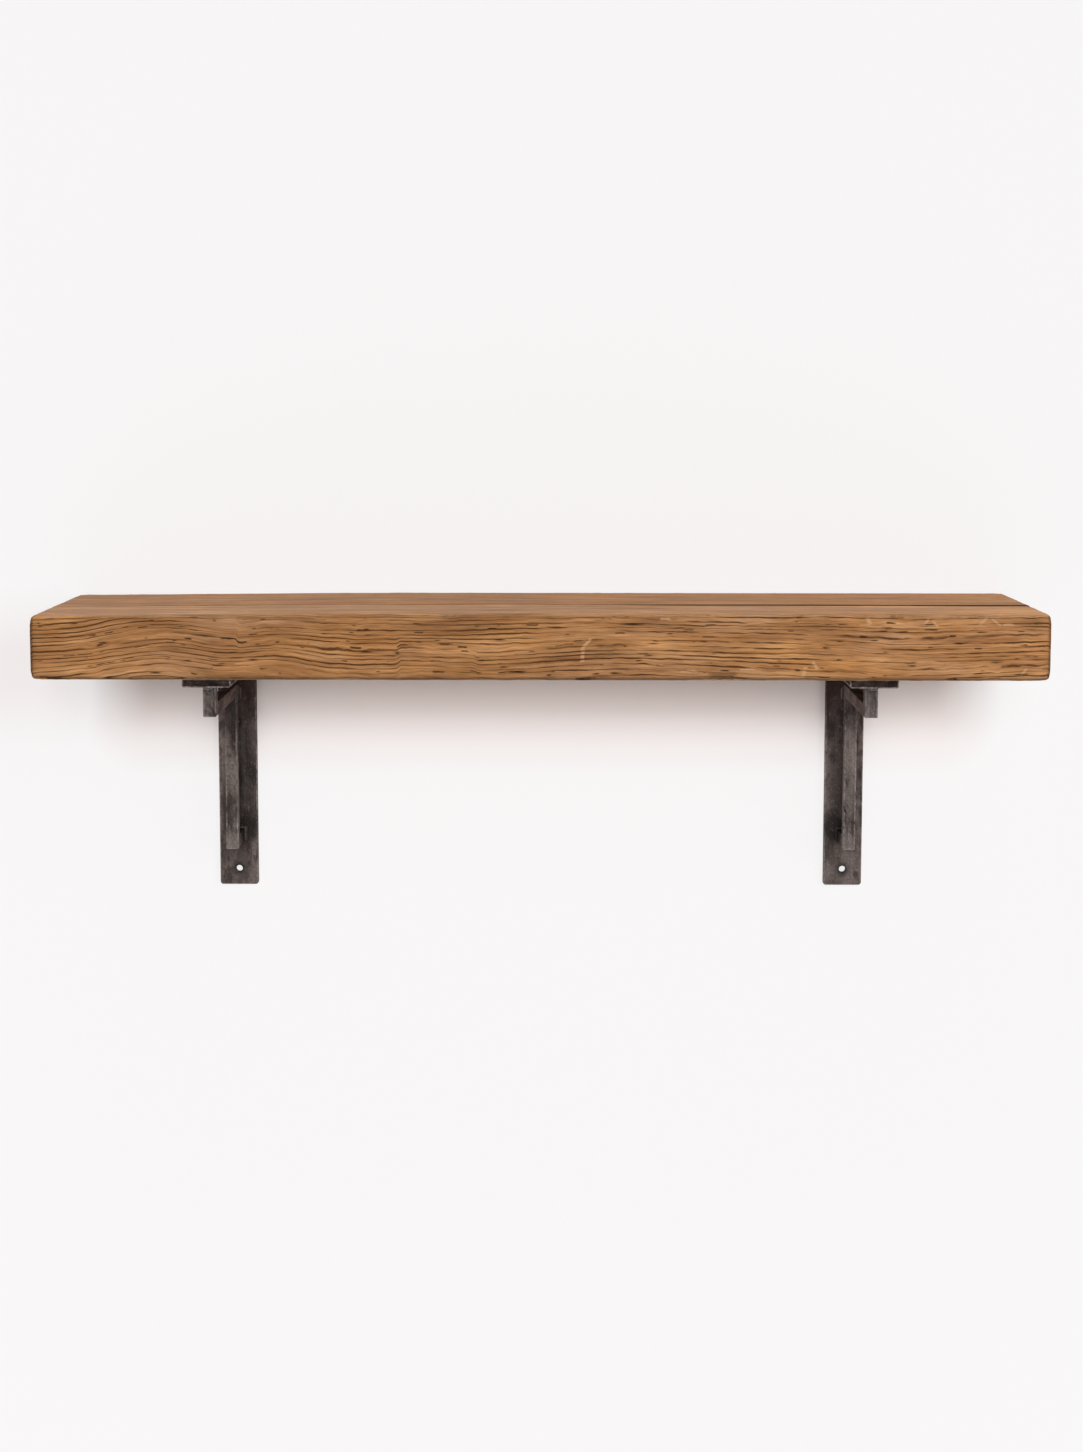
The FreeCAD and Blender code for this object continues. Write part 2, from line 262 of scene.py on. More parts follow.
def one_way_material(name, colour, behind_shelf):
    """A pale matt surface that is clear from behind and to shadow rays."""
    material, tree, shader = new_material(name)
    tree.nodes.remove(shader)
    glow = GLOW_FAR
    if behind_shelf:
        colour, glow = shade_wall(tree, colour)
    matt = add_node(tree, "ShaderNodeBsdfDiffuse", {"Color": colour}).outputs[0]
    own_light = add_node(tree, "ShaderNodeEmission", {"Color": colour}).outputs[0]
    pale = add_node(tree, "ShaderNodeMixShader", {0: glow, 1: matt, 2: own_light}).outputs[0]
    clear = add_node(tree, "ShaderNodeBsdfTransparent").outputs[0]
    from_behind = add_node(tree, "ShaderNodeNewGeometry").outputs["Backfacing"]
    shadow_ray = add_node(tree, "ShaderNodeLightPath").outputs["Is Shadow Ray"]
    passing = calculate(tree, "MAXIMUM", from_behind, shadow_ray)
    both = add_node(tree, "ShaderNodeMixShader", {0: passing, 1: pale, 2: clear}).outputs[0]
    feed(tree, tree.nodes["Material Output"], {"Surface": both})
    return material


WALL_PAINT = one_way_material("pale_wall", WALL_COLOUR, True)
FLOOR_PAINT = one_way_material("pale_floor", FLOOR_COLOUR, False)
print("paints:", WALL_PAINT.name, FLOOR_PAINT.name)

# %% Wall and floor
WALL_GAP = 0.5 * MM
STAGE_SPAN = 9.0
FLOOR_LEVEL = -1.6
STANDING = Matrix.Rotation(math.pi / 2, 3, "X")


def new_object(name, bm, material):
    """Turns a bmesh into an object of the scene."""
    mesh = bpy.data.meshes.new(name)
    bm.to_mesh(mesh)
    bm.free()
    mesh.materials.append(material)
    made = bpy.data.objects.new(name, mesh)
    scene.collection.objects.link(made)
    return made


def stage_sheet(name, rotation, place, material):
    """A flat square of the studio."""
    bm = bmesh.new()
    bmesh.ops.create_grid(bm, x_segments=1, y_segments=1, size=STAGE_SPAN / 2)
    bmesh.ops.rotate(bm, matrix=rotation, verts=bm.verts)
    bmesh.ops.translate(bm, vec=place, verts=bm.verts)
    new_object(name, bm, material)


wall_centre = Vector((0, WALL_GAP, FLOOR_LEVEL + STAGE_SPAN / 2))
floor_centre = Vector((0, WALL_GAP - STAGE_SPAN / 2, FLOOR_LEVEL))
stage_sheet("studio_wall", STANDING, wall_centre, WALL_PAINT)
stage_sheet("studio_floor", Matrix.Identity(3), floor_centre, FLOOR_PAINT)
print("wall and floor set")

# %% [markdown]
# ## Light
#
# The soft shadow under the board ends about a hand's width below it, so the main light stands low in
# front, a little to the right, and is wide. Sun lamps light the wall evenly; their angle sets how
# soft the shadow is. Others light the top, the right side and, for views from behind, the back; the
# world fills in the rest, a little warm as in the photograph's shadow.

# %% Light
def add_sun(name, elevation, azimuth, strength, spread, colour):
    """A sun that shines from an elevation and from an azimuth right of the front, in degrees."""
    data = bpy.data.lights.new(name, "SUN")
    data.energy = strength
    data.angle = math.radians(spread)
    data.color = colour
    lamp = bpy.data.objects.new(name, data)
    up, turn = math.radians(elevation), math.radians(azimuth)
    towards = Vector((math.sin(turn) * math.cos(up), -math.cos(turn) * math.cos(up), math.sin(up)))
    lamp.rotation_euler = towards.to_track_quat("Z", "Y").to_euler()
    scene.collection.objects.link(lamp)


WARM_LAMP, WHITE_LAMP = (1.0, 0.985, 0.97), (1.0, 0.99, 0.98)
add_sun("front_softbox", elevation=12, azimuth=1, strength=1.95, spread=18, colour=WARM_LAMP)
add_sun("side_softbox", elevation=14, azimuth=44, strength=0.62, spread=40, colour=WARM_LAMP)
add_sun("overhead_softbox", elevation=86, azimuth=10, strength=0.45, spread=25, colour=WHITE_LAMP)
add_sun("back_softbox", elevation=20, azimuth=200, strength=1.0, spread=40, colour=WHITE_LAMP)

# %% World
FILL_STRENGTH, FILL_COLOUR = 0.11, (1.0, 0.9, 0.87, 1.0)
SEEN_STRENGTH, SEEN_COLOUR = 1.0, (1.0, 0.99, 0.985, 1.0)
scene.world = bpy.data.worlds.new("studio_world")
scene.world.use_nodes = True
sky = scene.world.node_tree
rays = add_node(sky, "ShaderNodeLightPath").outputs
seen = calculate(sky, "MAXIMUM", rays["Is Camera Ray"], rays["Is Glossy Ray"])
seen = calculate(sky, "MAXIMUM", seen, rays["Is Transmission Ray"])
feed(sky, sky.nodes["Background"], {
    "Strength": remap(sky, seen, 0.0, 1.0, FILL_STRENGTH, SEEN_STRENGTH),
    "Color": blend_colours(sky, seen, FILL_COLOUR, SEEN_COLOUR),
})
print("world:", scene.world.name)

# %% [markdown]
# ## Shared surface effects
#
# Both planks show the same fibre, and wood and steel alike wear along their edges, so these effects
# are node groups, built once. A group puts out plain masks and values; each material decides what
# they do to its colour, roughness and relief.

# %% Groups
VECTOR, FLOAT = "NodeSocketVector", "NodeSocketFloat"


def new_group(name, inputs, outputs):
    """An empty shader group, with what it is given and the node that takes its results."""
    group = bpy.data.node_groups.new(name, "ShaderNodeTree")
    for socket, kind in inputs.items():
        group.interface.new_socket(socket, in_out="INPUT", socket_type=kind)
    for socket in outputs:
        group.interface.new_socket(socket, in_out="OUTPUT", socket_type=FLOAT)
    return group, group.nodes.new("NodeGroupInput").outputs, group.nodes.new("NodeGroupOutput")


def use_group(tree, group, inputs):
    """Places a group in a material and returns its outputs."""
    return add_node(tree, "ShaderNodeGroup", inputs, node_tree=group).outputs


print("groups can be made and used")

# %% [markdown]
# Seen close, pine has broad streaks, fine threads and short dark checks where it has dried. Noise that
# is stretched along the plank gives all three. The longer dark lines could be noise too, but they have
# to fall where the mesh has its furrows, so they are drawn from the ring and run masks that the
# furrows come from.

# %% Fibre and ring lines
CHECK_SPACING = 1.7
CHECK_SHIFT = 7.31
RING_SPACING = 3.1
LINE_HALF = 0.135
# How broad a line is where the weather has hardly cut, and where its depth and its run count in full
LINE_LEAST, DEPTH_FULL, RUN_FULL = 0.3, 0.5, 0.75


def off_line(tree, count):
    """How far a count is from the half between two whole numbers, where the lines lie."""
    return off_middle(tree, calculate(tree, "FRACT", count), 0.5, 1.0)


def make_fibre_group():
    """Wood fibre on coordinates in mm, across the rings and along the plank."""
    group, given, result = new_group("wood_fibre", {"Grain": VECTOR}, ["Streak", "Thread", "Checks"])
    grain = given["Grain"]
    axes = axes_of(group, grain)
    count = calculate(group, "DIVIDE", axes[0], CHECK_SPACING)
    own_line = calculate(group, "MULTIPLY", calculate(group, "FLOOR", count), CHECK_SHIFT)
    run = stretched_noise(group, vector_of(group, own_line, axes[1]), (1.0, 0.05, 1.0), 2.0, 0.5)
    near = remap(group, off_line(group, count), 0.24, 0.1)
    feed(group, result, {
        "Streak": stretched_noise(group, grain, (0.42, 0.008, 0.1), 6.0, 0.62),
        "Thread": stretched_noise(group, grain, (1.3, 0.035, 0.3), 3.0, 0.6),
        "Checks": calculate(group, "MULTIPLY", remap(group, run, 0.615, 0.67), near),
    })
    return group


def make_line_group():
    """The dark lines that the weather cuts beside the hard rings, from a plank's ring and run masks."""
    group, given, result = new_group("ring_lines", {"Ring": FLOAT, "Run": FLOAT}, ["Line"])
    away = off_line(group, calculate(group, "DIVIDE", given["Ring"], RING_SPACING))
    breadth = calculate(group, "MULTIPLY", calculate(group, "ADD", given["Run"], LINE_LEAST), LINE_HALF)
    depth = calculate(group, "SUBTRACT", 1.0, calculate(group, "DIVIDE", away, breadth), clamp=True)
    strength = remap(group, given["Run"], 0.0, RUN_FULL)
    line = calculate(group, "MULTIPLY", remap(group, depth, 0.0, DEPTH_FULL), strength)
    feed(group, result, {"Line": line})
    return group


FIBRE, LINES = make_fibre_group(), make_line_group()
print("groups for wood:", FIBRE.name, LINES.name)

# %% [markdown]
# Edges lose their skin first. A shader can look for edges by itself, but that is slow and finds every
# corner alike, so each mesh carries its own edge mask and noise breaks it up. Mill scale is the dark
# skin that hot rolling leaves on steel: it is noise of several sizes, drawn out along the bar.

# %% Edge wear and mill scale
def make_wear_group():
    """Wear on edges: the piece's own edge mask, broken up by noise."""
    inputs = {"Vector": VECTOR, "Edge": FLOAT, "Grain": FLOAT}
    group, given, result = new_group("edge_wear", inputs, ["Wear"])
    inputs = {"Vector": given["Vector"], "Scale": given["Grain"], "Detail": 5.0, "Roughness": 0.65}
    breakup = add_node(group, "ShaderNodeTexNoise", inputs).outputs[0]
    patchy = remap(group, breakup, 0.38, 0.6, 0.25, 1.0)
    feed(group, result, {"Wear": calculate(group, "MULTIPLY", given["Edge"], patchy)})
    return group


def make_scale_group():
    """Mill scale on hot-rolled steel: mottle, blotches, specks, rolling lines and slanting scratches."""
    outputs = ["Mottle", "Blotch", "Specks", "Smear", "Scratch"]
    group, given, result = new_group("mill_scale", {"Vector": VECTOR}, outputs)
    place = given["Vector"]
    slanted = mapped(group, place, Rotation=(0.0, 0.5, 0.3))
    blotch = stretched_noise(group, place, (110.0, 110.0, 55.0), 4.0, 0.55, (0.3, 1.1, 2.7))
    scratch = stretched_noise(group, slanted, (520.0, 520.0, 70.0), 2.0, 0.5)
    feed(group, result, {
        "Mottle": stretched_noise(group, place, (66.0, 66.0, 26.0), 6.0, 0.6, (0.4, 0.0, 0.35)),
        "Blotch": remap(group, blotch, 0.55, 0.64),
        "Specks": stretched_noise(group, place, (620.0, 620.0, 460.0), 3.0, 0.6),
        "Smear": stretched_noise(group, place, (430.0, 430.0, 14.0), 4.0, 0.6),
        "Scratch": remap(group, scratch, 0.58, 0.68),
    })
    return group


WEAR, SCALE = make_wear_group(), make_scale_group()
print("groups for edges and steel:", WEAR.name, SCALE.name)

# %% [markdown]
# ## Weathered pine
#
# The planks' meshes carry the masks that their shaping leaves behind: ring, the distance from the
# pith in mm, and run, how strongly the weather has cut there, which together draw the dark lines along
# the rings; arris, near the worn edges; faded, on the top; and dirt_and_shade, which is dark in pits
# and chips, grime on the sawn ends, darker along the front's long edges, painted shade along the ends'
# rounded edges, and grime with painted shade in the seam. The colour starts from the fibre and the
# masks darken, bleach or stain it. Fresh nicks and one torn stretch of the lower edge are too thin for
# the mesh, so they are masks in the material.

# %% Pale nicks and a torn edge
# Fresh pale cuts on the front, in mm: place along the board, height, half breadth, half height, lean
NICKS = (
    (38.0, -7.0, 2.0, 7.0, 0.1), (41.0, 3.0, 2.0, 6.0, 0.9), (293.0, 25.0, 2.4, 4.5, -0.3),
    (236.0, -22.5, 2.0, 6.0, 0.25), (246.0, -16.0, 1.8, 4.0, -0.7), (112.0, 25.5, 6.0, 1.5, 0.0),
    (345.0, 24.0, 1.8, 4.0, 0.6), (353.0, 21.0, 1.6, 3.6, -0.8), (396.0, 24.5, 2.0, 4.0, 1.1),
    (407.0, 23.0, 1.8, 4.2, -1.2), (418.0, 21.0, 6.0, 1.4, 0.0), (133.0, -21.0, 8.0, 1.5, 0.0),
    (186.0, -19.0, 9.0, 1.6, 0.0), (432.0, -22.0, 1.8, 4.0, 0.8),
)
# A torn stretch of the lower front edge, in mm: place along the board, height, half length, half height
TORN = (163.0, -26.0, 15.0, 5.0)
TEAR_PITCH = 2.7
FRAY = 1.6


def nick_mask(tree, place, along, upward):
    """A mask of the pale cuts, which are ragged."""
    ragged = stretched_noise(tree, place, (240.0, 300.0, 520.0), 3.0, 0.65)
    total = 0.0
    for x, z, half_breadth, half_height, lean in NICKS:
        height = calculate(tree, "SUBTRACT", upward, z)
        straightened = calculate(tree, "MULTIPLY_ADD", height, -lean, along)
        across = off_middle(tree, straightened, x, half_breadth)
        reach = calculate(tree, "MAXIMUM", across, off_middle(tree, upward, z, half_height))
        frayed = calculate(tree, "MULTIPLY_ADD", ragged, FRAY, reach)
        total = calculate(tree, "MAXIMUM", total, remap(tree, frayed, 1.75, 1.4, 0.0, 0.9))
    return total


def tear_mask(tree, along, upward):
    """Short slanting tears in one stretch of the lower edge."""
    place, height, half_length, half_height = TORN
    across = off_middle(tree, along, place, half_length)
    reach = calculate(tree, "MAXIMUM", across, off_middle(tree, upward, height, half_height))
    stroke = calculate(tree, "PINGPONG", calculate(tree, "SUBTRACT", along, upward), TEAR_PITCH / 2)
    return calculate(tree, "MULTIPLY", remap(tree, stroke, 0.65, 1.1), remap(tree, reach, 1.0, 0.6))


print(len(NICKS), "nicks and a torn stretch of", 2 * TORN[2], "mm")

# %% Weathered pine
FRONT_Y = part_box("front_plank")[0].y
BOARD_HALF = round(cad_box[1].x / MM, 3)
LINE_BROWN = (0.085, 0.036, 0.0135, 1)
CHECK_BROWN = (0.045, 0.021, 0.009, 1)
# Darkest brown: old grime, and painted shade along the ends' rounded edges and in the seam
DIRT_AND_SHADE_BROWN = (0.018, 0.011, 0.007, 1)
WORN_PINE = (0.52, 0.3, 0.155, 1)
GOLDEN, GREYED = (1.07, 1.03, 0.9), (0.84, 0.84, 0.89)
FIBRE_SHARE = 0.52
# How the bleached top follows the fibre: the fibre's value, and a share of the bleached colour
BLEACH_STOPS = ((0.37, 0.52), (0.63, 1.48))
# How much paler the board is at both ends, and at the right one more than at the left
DRY_ENDS, DRY_RIGHT = 0.12, 0.085
# How much of the lines and checks shows on the front, and on the smoothed top
CUT_ON_FRONT, CUT_ON_TOP = 0.92, 0.34
# How far from the front face its nicks and tears begin to fade, and where they end, in mm
FRONT_FADE, FRONT_END = 2, 3
WORN_SHARE = 0.6
CHECK_RELIEF, FUZZ_RELIEF = 0.8, 0.4
WOOD_ROUGH, LINE_ROUGH = 0.62, 0.85
WOBBLE = 0.8


def pine_tones(tree, fibre, place, along, tones, faded, faded_colour):
    """The wood between its lines: fibre in three tones, bleached on top, golden or greyed in patches."""
    tone = stretched_noise(tree, place, (9.0, 44.0, 44.0), 4.0, 0.6)
    age = stretched_noise(tree, place, (8.0, 34.0, 36.0), 4.0, 0.6, (4.0, 0.5, 2.0))
    tone = calculate(tree, "MULTIPLY", tone, 1 - FIBRE_SHARE)
    mixed = calculate(tree, "MULTIPLY_ADD", fibre["Streak"], FIBRE_SHARE, tone)
    colour = colour_ramp(tree, mixed, list(zip((0.38, 0.5, 0.62), tones)))
    bleached = [(stop, [share * part for part in faded_colour]) for stop, share in BLEACH_STOPS]
    colour = blend_colours(tree, faded, colour, colour_ramp(tree, fibre["Streak"], bleached))
    threads = remap(tree, fibre["Thread"], 0.33, 0.67, 0.7, 1.27)
    patches = colour_ramp(tree, age, [(0.36, GOLDEN), (0.64, GREYED)])
    to_end = calculate(tree, "DIVIDE", along, BOARD_HALF)
    drier = calculate(tree, "MULTIPLY_ADD", to_end, DRY_ENDS, DRY_RIGHT)
    dried = calculate(tree, "MULTIPLY_ADD", to_end, drier, 1.0)
    for tint in (threads, patches, dried):
        colour = blend_colours(tree, 1.0, colour, tint, "MULTIPLY")
    return colour


def make_pine(name, tones, faded_colour, faded_share):
    """Waxed old pine: fibre, dark lines along the rings, bleached top and worn edges."""
    material, tree, shader = new_material(name)
    place = object_place(tree)
    run, faded, dirt_and_shade, arris = (attribute(tree, key) for key in ("run", "faded", "dirt_and_shade", "arris"))
    axes = axes_of(tree, place)
    along, upward = (calculate(tree, "DIVIDE", axes[k], MM) for k in (0, 2))
    wobble = stretched_noise(tree, place, (70.0, 70.0, 70.0), 2.0, 0.5)
    wobble = remap(tree, wobble, 0.0, 1.0, -WOBBLE, WOBBLE)
    ring = calculate(tree, "ADD", attribute(tree, "ring"), wobble)
    fibre = use_group(tree, FIBRE, {"Grain": vector_of(tree, ring, along)})
    line = use_group(tree, LINES, {"Ring": ring, "Run": run})["Line"]
    wear = use_group(tree, WEAR, {"Vector": place, "Edge": arris, "Grain": 85.0})["Wear"]

    worn_smooth = remap(tree, faded, 0.0, 1.0, CUT_ON_FRONT, CUT_ON_TOP)
    on_front = remap(tree, axes[1], FRONT_Y + FRONT_END * MM, FRONT_Y + FRONT_FADE * MM)
    torn = calculate(tree, "MULTIPLY", tear_mask(tree, along, upward), on_front)
    nicks = calculate(tree, "MULTIPLY", nick_mask(tree, place, along, upward), on_front)
    bare = calculate(tree, "MAXIMUM", calculate(tree, "MULTIPLY", wear, WORN_SHARE), nicks)
    cut = calculate(tree, "MULTIPLY", line, worn_smooth)
    short_cut = calculate(tree, "MAXIMUM", fibre["Checks"], torn)
    short_cut = calculate(tree, "MULTIPLY", short_cut, worn_smooth)

    bleach = calculate(tree, "MULTIPLY", faded, faded_share)
    colour = pine_tones(tree, fibre, place, along, tones, bleach, faded_colour)
    # The last stain is the mesh's grime and painted shade
    stains = ((bare, WORN_PINE), (cut, LINE_BROWN), (short_cut, CHECK_BROWN), (dirt_and_shade, DIRT_AND_SHADE_BROWN))
    for mask, stain in stains:
        colour = blend_colours(tree, mask, colour, stain)

    depth = calculate(tree, "MULTIPLY_ADD", short_cut, CHECK_RELIEF, cut)
    fuzz = calculate(tree, "ADD", fibre["Streak"], fibre["Thread"])
    height = calculate(tree, "SUBTRACT", calculate(tree, "MULTIPLY", fuzz, FUZZ_RELIEF), depth)
    relief = add_node(tree, "ShaderNodeBump", {"Height": height, "Strength": 1.0, "Distance": 1.0 * MM})
    feed(tree, shader, {
        "Base Color": colour, "Normal": relief.outputs[0], "Specular IOR Level": 0.07,
        "Roughness": remap(tree, line, 0.0, 1.0, WOOD_ROUGH, LINE_ROUGH),
    })
    return material


# Tones of a plank: its fibre from dark to light, the bleached top and how far the top is bleached
PINE_FRONT = make_pine("front_pine", ((0.275, 0.124, 0.046), (0.385, 0.189, 0.077), (0.492, 0.269, 0.131)),
                       (0.48, 0.252, 0.114), 0.6)
PINE_REAR = make_pine("rear_pine", ((0.24, 0.098, 0.03), (0.36, 0.162, 0.055), (0.47, 0.23, 0.088)),
                      (0.4, 0.196, 0.076), 0.45)
print("pine:", PINE_FRONT.name, PINE_REAR.name)

# %% [markdown]
# ## Planks
#
# A plank could be a plain box with a picture on it, but weathered pine has relief that shows at its
# edges. Each plank starts as a box from the frame, its outer edges are bevelled, and its sides are
# divided finely. Every vertex is then sunk by what the weather did there: furrows follow the growth
# rings, which are cylinders round a pith line, made wavy by noise, so that the grain runs on round
# the corners and shows as arcs on the ends.

# %% Growth rings and furrows
def smoothstep(low, high, value):
    """An eased step from 0 to 1."""
    share = min(max((value - low) / (high - low), 0.0), 1.0)
    return share * share * (3 - 2 * share)


def wave(x, y, z):
    """Smooth noise from -1 to 1."""
    return noise.noise(Vector((x, y, z)))


BOARD_FRONT = round(FRONT_Y / MM, 3)
# Where each plank's pith line runs, in mm: Y and Z
FRONT_PITH, REAR_PITH = (-440.0, -190.0), (150.0, 220.0)
# Where the grain swells round an old branch, in mm: place along the board, half width, lift
SWELLS = ((-345.0, 62.0, 8.0), (-236.0, 34.0, 4.0), (60.0, 70.0, 2.0), (330.0, 60.0, -2.0))
SWELL_REACH = 60
# Where a blade has jumped, in mm: place along the board, jump of the grain, lower and upper end
BLADE_MARKS = ((-271.0, 2.4, 0.0, 40.0), (-127.0, -2.0, -40.0, 8.0), (-58.0, 1.2, -40.0, 0.0))
# How softly a jump ends in height, its half width, and how far it holds and then dies out to the right
JUMP_EASE, JUMP_HALF, JUMP_HOLDS, JUMP_DIES = 5, 2, 4, 90
# The grain is wavy at the left end and calmer from there on
CALM_FROM, CALM_TO, CALMED = -310, -225, 0.6


def ring_at(x, y, z, pith_y, pith_z):
    """The distance from the pith, in mm, with the wander of the grain."""
    wander = 4.0 * wave(x / 210, y / 110, z / 80) + 1.5 * wave(x / 62, y / 50, z / 34)
    wander *= 1.0 - CALMED * smoothstep(CALM_FROM, CALM_TO, x)
    wander += 0.35 * wave(x / 19, y / 14, z / 10)
    near_front = smoothstep(SWELL_REACH, 0, y - BOARD_FRONT)
    for place, half_width, lift in SWELLS:
        wander -= lift * math.exp(-((x - place) / half_width) ** 2) * near_front
    for place, jump, lower, upper in BLADE_MARKS:
        within = smoothstep(lower - JUMP_EASE, lower + JUMP_EASE, z)
        within *= smoothstep(upper + JUMP_EASE, upper - JUMP_EASE, z)
        begun = smoothstep(place - JUMP_HALF, place + JUMP_HALF, x)
        wander += jump * within * begun * smoothstep(place + JUMP_DIES, place + JUMP_HOLDS, x)
    ring = math.hypot(y - pith_y, z - pith_z) + wander
    return ring + 2.3 * wave(ring / 6.5, x / 240, 3.0)


def run_at(ring, x):
    """How strongly the weather has cut along a ring: 0 not at all, up to 1."""
    zone = 0.42 + 0.55 * wave(x / 120, ring / 12, 1.0)
    short = 0.4 + 0.25 * smoothstep(-60, 160, x)
    strength = zone + 0.62 * wave(x / 60, ring / 2.3, 5.0) + short * wave(x / 14, ring / 1.9, 8.0)
    return min(max(strength, 0.0), 1.0)


def line_at(ring, run):
    """How deep a line is at a ring, the same as the node group draws it."""
    away = abs(ring / RING_SPACING % 1.0 - 0.5)
    depth = max(1.0 - away / (LINE_HALF * (run + LINE_LEAST)), 0.0)
    return min(depth / DEPTH_FULL, 1.0) * min(run / RUN_FULL, 1.0)


print("ring at the middle of the front:", round(ring_at(0, BOARD_FRONT, 0, *FRONT_PITH), 1), "mm")

# %% [markdown]
# ## The board's wear
#
# Old boards carry a history of knocks. The largest ones are listed one by one: chips on the upper front
# edge, a frayed stretch of the lower edge, a long dark gouge and a few nail holes. The rest is noise:
# the edges are eaten unevenly, and the left end has worn a little thinner.

# %% Knocks
# Chips on the front edges: place along the board, which edge (1 upper, -1 lower), length, depth, in mm
CHIPS = (
    (112, 1, 20, 1.6), (152, 1, 24, 2.2), (287, 1, 10, 1.8), (320, 1, 16, 1.5), (402, 1, 26, 2.0),
    (-352, 1, 14, 1.2), (-189, 1, 16, 1.4), (-80, 1, 12, 1.2), (436, 1, 12, 2.0), (160, -1, 34, 2.4),
    (238, -1, 12, 1.6), (262, -1, 9, 1.2), (-298, -1, 16, 1.2), (410, -1, 12, 1.4), (-171, -1, 14, 1.4),
    (-60, -1, 18, 1.0), (52, -1, 10, 0.9), (-446, -1, 9, 1.6),
)
# Pits and gouges on the front face: place along the board, height, length, breadth, depth, in mm
PITS = (
    (81, 21, 15, 1.3, 1.6), (-400, 12, 4, 1.2, 1.5), (-391, 5, 6, 1.2, 1.4), (-316, -12, 4, 1.0, 1.2),
    (-128, -5, 3.0, 1.6, 2.0), (-86, 3, 9, 1.2, 1.5), (-36, 7, 7, 1.1, 1.2), (-22, -22, 12, 1.2, 1.4),
    (67, -23, 7, 1.2, 1.3), (97, -7, 5, 1.1, 1.2), (255, 0, 5, 1.1, 1.1), (-156, -4, 9, 1.1, 1.2),
    (-257, -11, 6, 1.1, 1.3), (14, 18, 11, 1.1, 1.2), (374, 4, 5, 1.1, 1.0), (-345, -23, 6, 1.2, 1.3),
)
CHIP_REACH = 6.2
FACE_REACH = 3.0
CHIP_DARK, PIT_DARK = 0.6, 0.9


def knock_at(x, y, z, low, high):
    """What chips and pits take from a point on the front, in mm, and how dark they leave it."""
    depth, dark = 0.0, 0.0
    for place, edge, length, most in CHIPS:
        level = high.z if edge > 0 else low.z
        near = math.hypot(y - low.y, z - level) / CHIP_REACH
        along = abs(x - place) / length
        if along < 1 and near < 1:
            ragged = 0.65 + 0.6 * wave(x / 3.2, y / 3.0 + place, z / 2.5)
            share = (1 - along ** 2) * (1 - near ** 2) * ragged
            depth = max(depth, most * share)
            stained = smoothstep(0.25, 0.8, share) * smoothstep(0.0, 0.4, wave(x / 4, z / 2, place))
            dark = max(dark, CHIP_DARK * stained)
    if y < low.y + FACE_REACH:
        for place, height, length, breadth, most in PITS:
            ragged = 1 + 0.35 * wave(x / 4, z / 2, place)
            near = math.hypot((x - place) / length, (z - height) / breadth) * ragged
            if near < 1:
                depth = max(depth, most * (1 - near ** 2))
                dark = max(dark, PIT_DARK * smoothstep(0.0, 0.7, 1 - near))
    return depth, dark


print(len(CHIPS), "chips and", len(PITS), "pits")

# %% [markdown]
# The seam between the planks shows on the top as a dark line towards the right end: the front plank
# has shrunk a little there and lies lower than its neighbour. The planks' seam faces stay flat.

# %% Seam
SEAM_OPENS = (70.0, 190.0)
SEAM_STEP = 2.0
SEAM_EASE = 15.0
SEAM_CLOSED = 0.15


def seam_share(x, from_seam):
    """How far the front plank has dropped near its seam, as a share of the full step."""
    opened = smoothstep(*SEAM_OPENS, x + 14 * wave(x / 60, 2.2, 0))
    return (SEAM_CLOSED + (1 - SEAM_CLOSED) * opened) * (1 - smoothstep(0, SEAM_EASE, from_seam))


print("step at the right end:", round(SEAM_STEP * seam_share(400, 0), 2), "mm")

# %% [markdown]
# A plank is cut from a box that spans its node. Its outer edges are rounded with a bevel, and then
# its long edges are divided, which turns each side into a grid fine enough for the furrows. The side
# at the seam is glued, so it stays one flat face with crisp edges.

# %% Cut a plank
SEAM_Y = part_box("front_plank")[1].y
ARRIS_RADIUS = 4.0 * MM
ARRIS_SEGMENTS = 4
TOUCHING = 0.01 * MM


def new_block(low, high):
    """A plain box between two corners."""
    bm = bmesh.new()
    bmesh.ops.create_cube(bm, size=1)
    bmesh.ops.scale(bm, vec=high - low, verts=bm.verts)
    bmesh.ops.translate(bm, vec=(low + high) / 2, verts=bm.verts)
    return bm


def ease_edges(bm, edges, width, segments):
    """Rounds edges over."""
    bmesh.ops.bevel(bm, geom=edges, offset=width, segments=segments, profile=0.5, affect="EDGES", material=-1)


def faces_at(bm, axis, level):
    """The faces that lie in a plane across an axis."""
    return [f for f in bm.faces if all(abs(v.co[axis] - level) < TOUCHING for v in f.verts)]


def direction_of(edge):
    """The axis that an edge runs along."""
    span = edge.verts[1].co - edge.verts[0].co
    return max(range(3), key=lambda axis: abs(span[axis]))


def divide_sides(bm, cuts):
    """Divides every long edge along X, Y and Z, so that each side becomes a fine grid."""
    for axis in range(3):
        along = [e for e in bm.edges if direction_of(e) == axis and e.calc_length() > 2.5 * ARRIS_RADIUS]
        bmesh.ops.subdivide_edges(bm, edges=along, cuts=cuts[axis], use_grid_fill=True)


def plank_block(low, high, cuts):
    """A box with its outer edges rounded and its sides divided; the seam's own edges stay crisp."""
    bm = new_block(low, high)
    outer = [e for e in bm.edges if any(abs(v.co.y - SEAM_Y) > MM for v in e.verts)]
    ease_edges(bm, outer, ARRIS_RADIUS, ARRIS_SEGMENTS)
    divide_sides(bm, cuts)
    bmesh.ops.dissolve_faces(bm, faces=faces_at(bm, 1, SEAM_Y))
    return bm


print("edges rounded to", ARRIS_RADIUS / MM, "mm")

# %% [markdown]
# A displacement modifier could press a pattern into the planks, but the colour has to agree with the
# relief. So each vertex is moved once, along its normal, by the sum of what has worn there, and what
# was found on the way is left on the mesh as masks for the material.

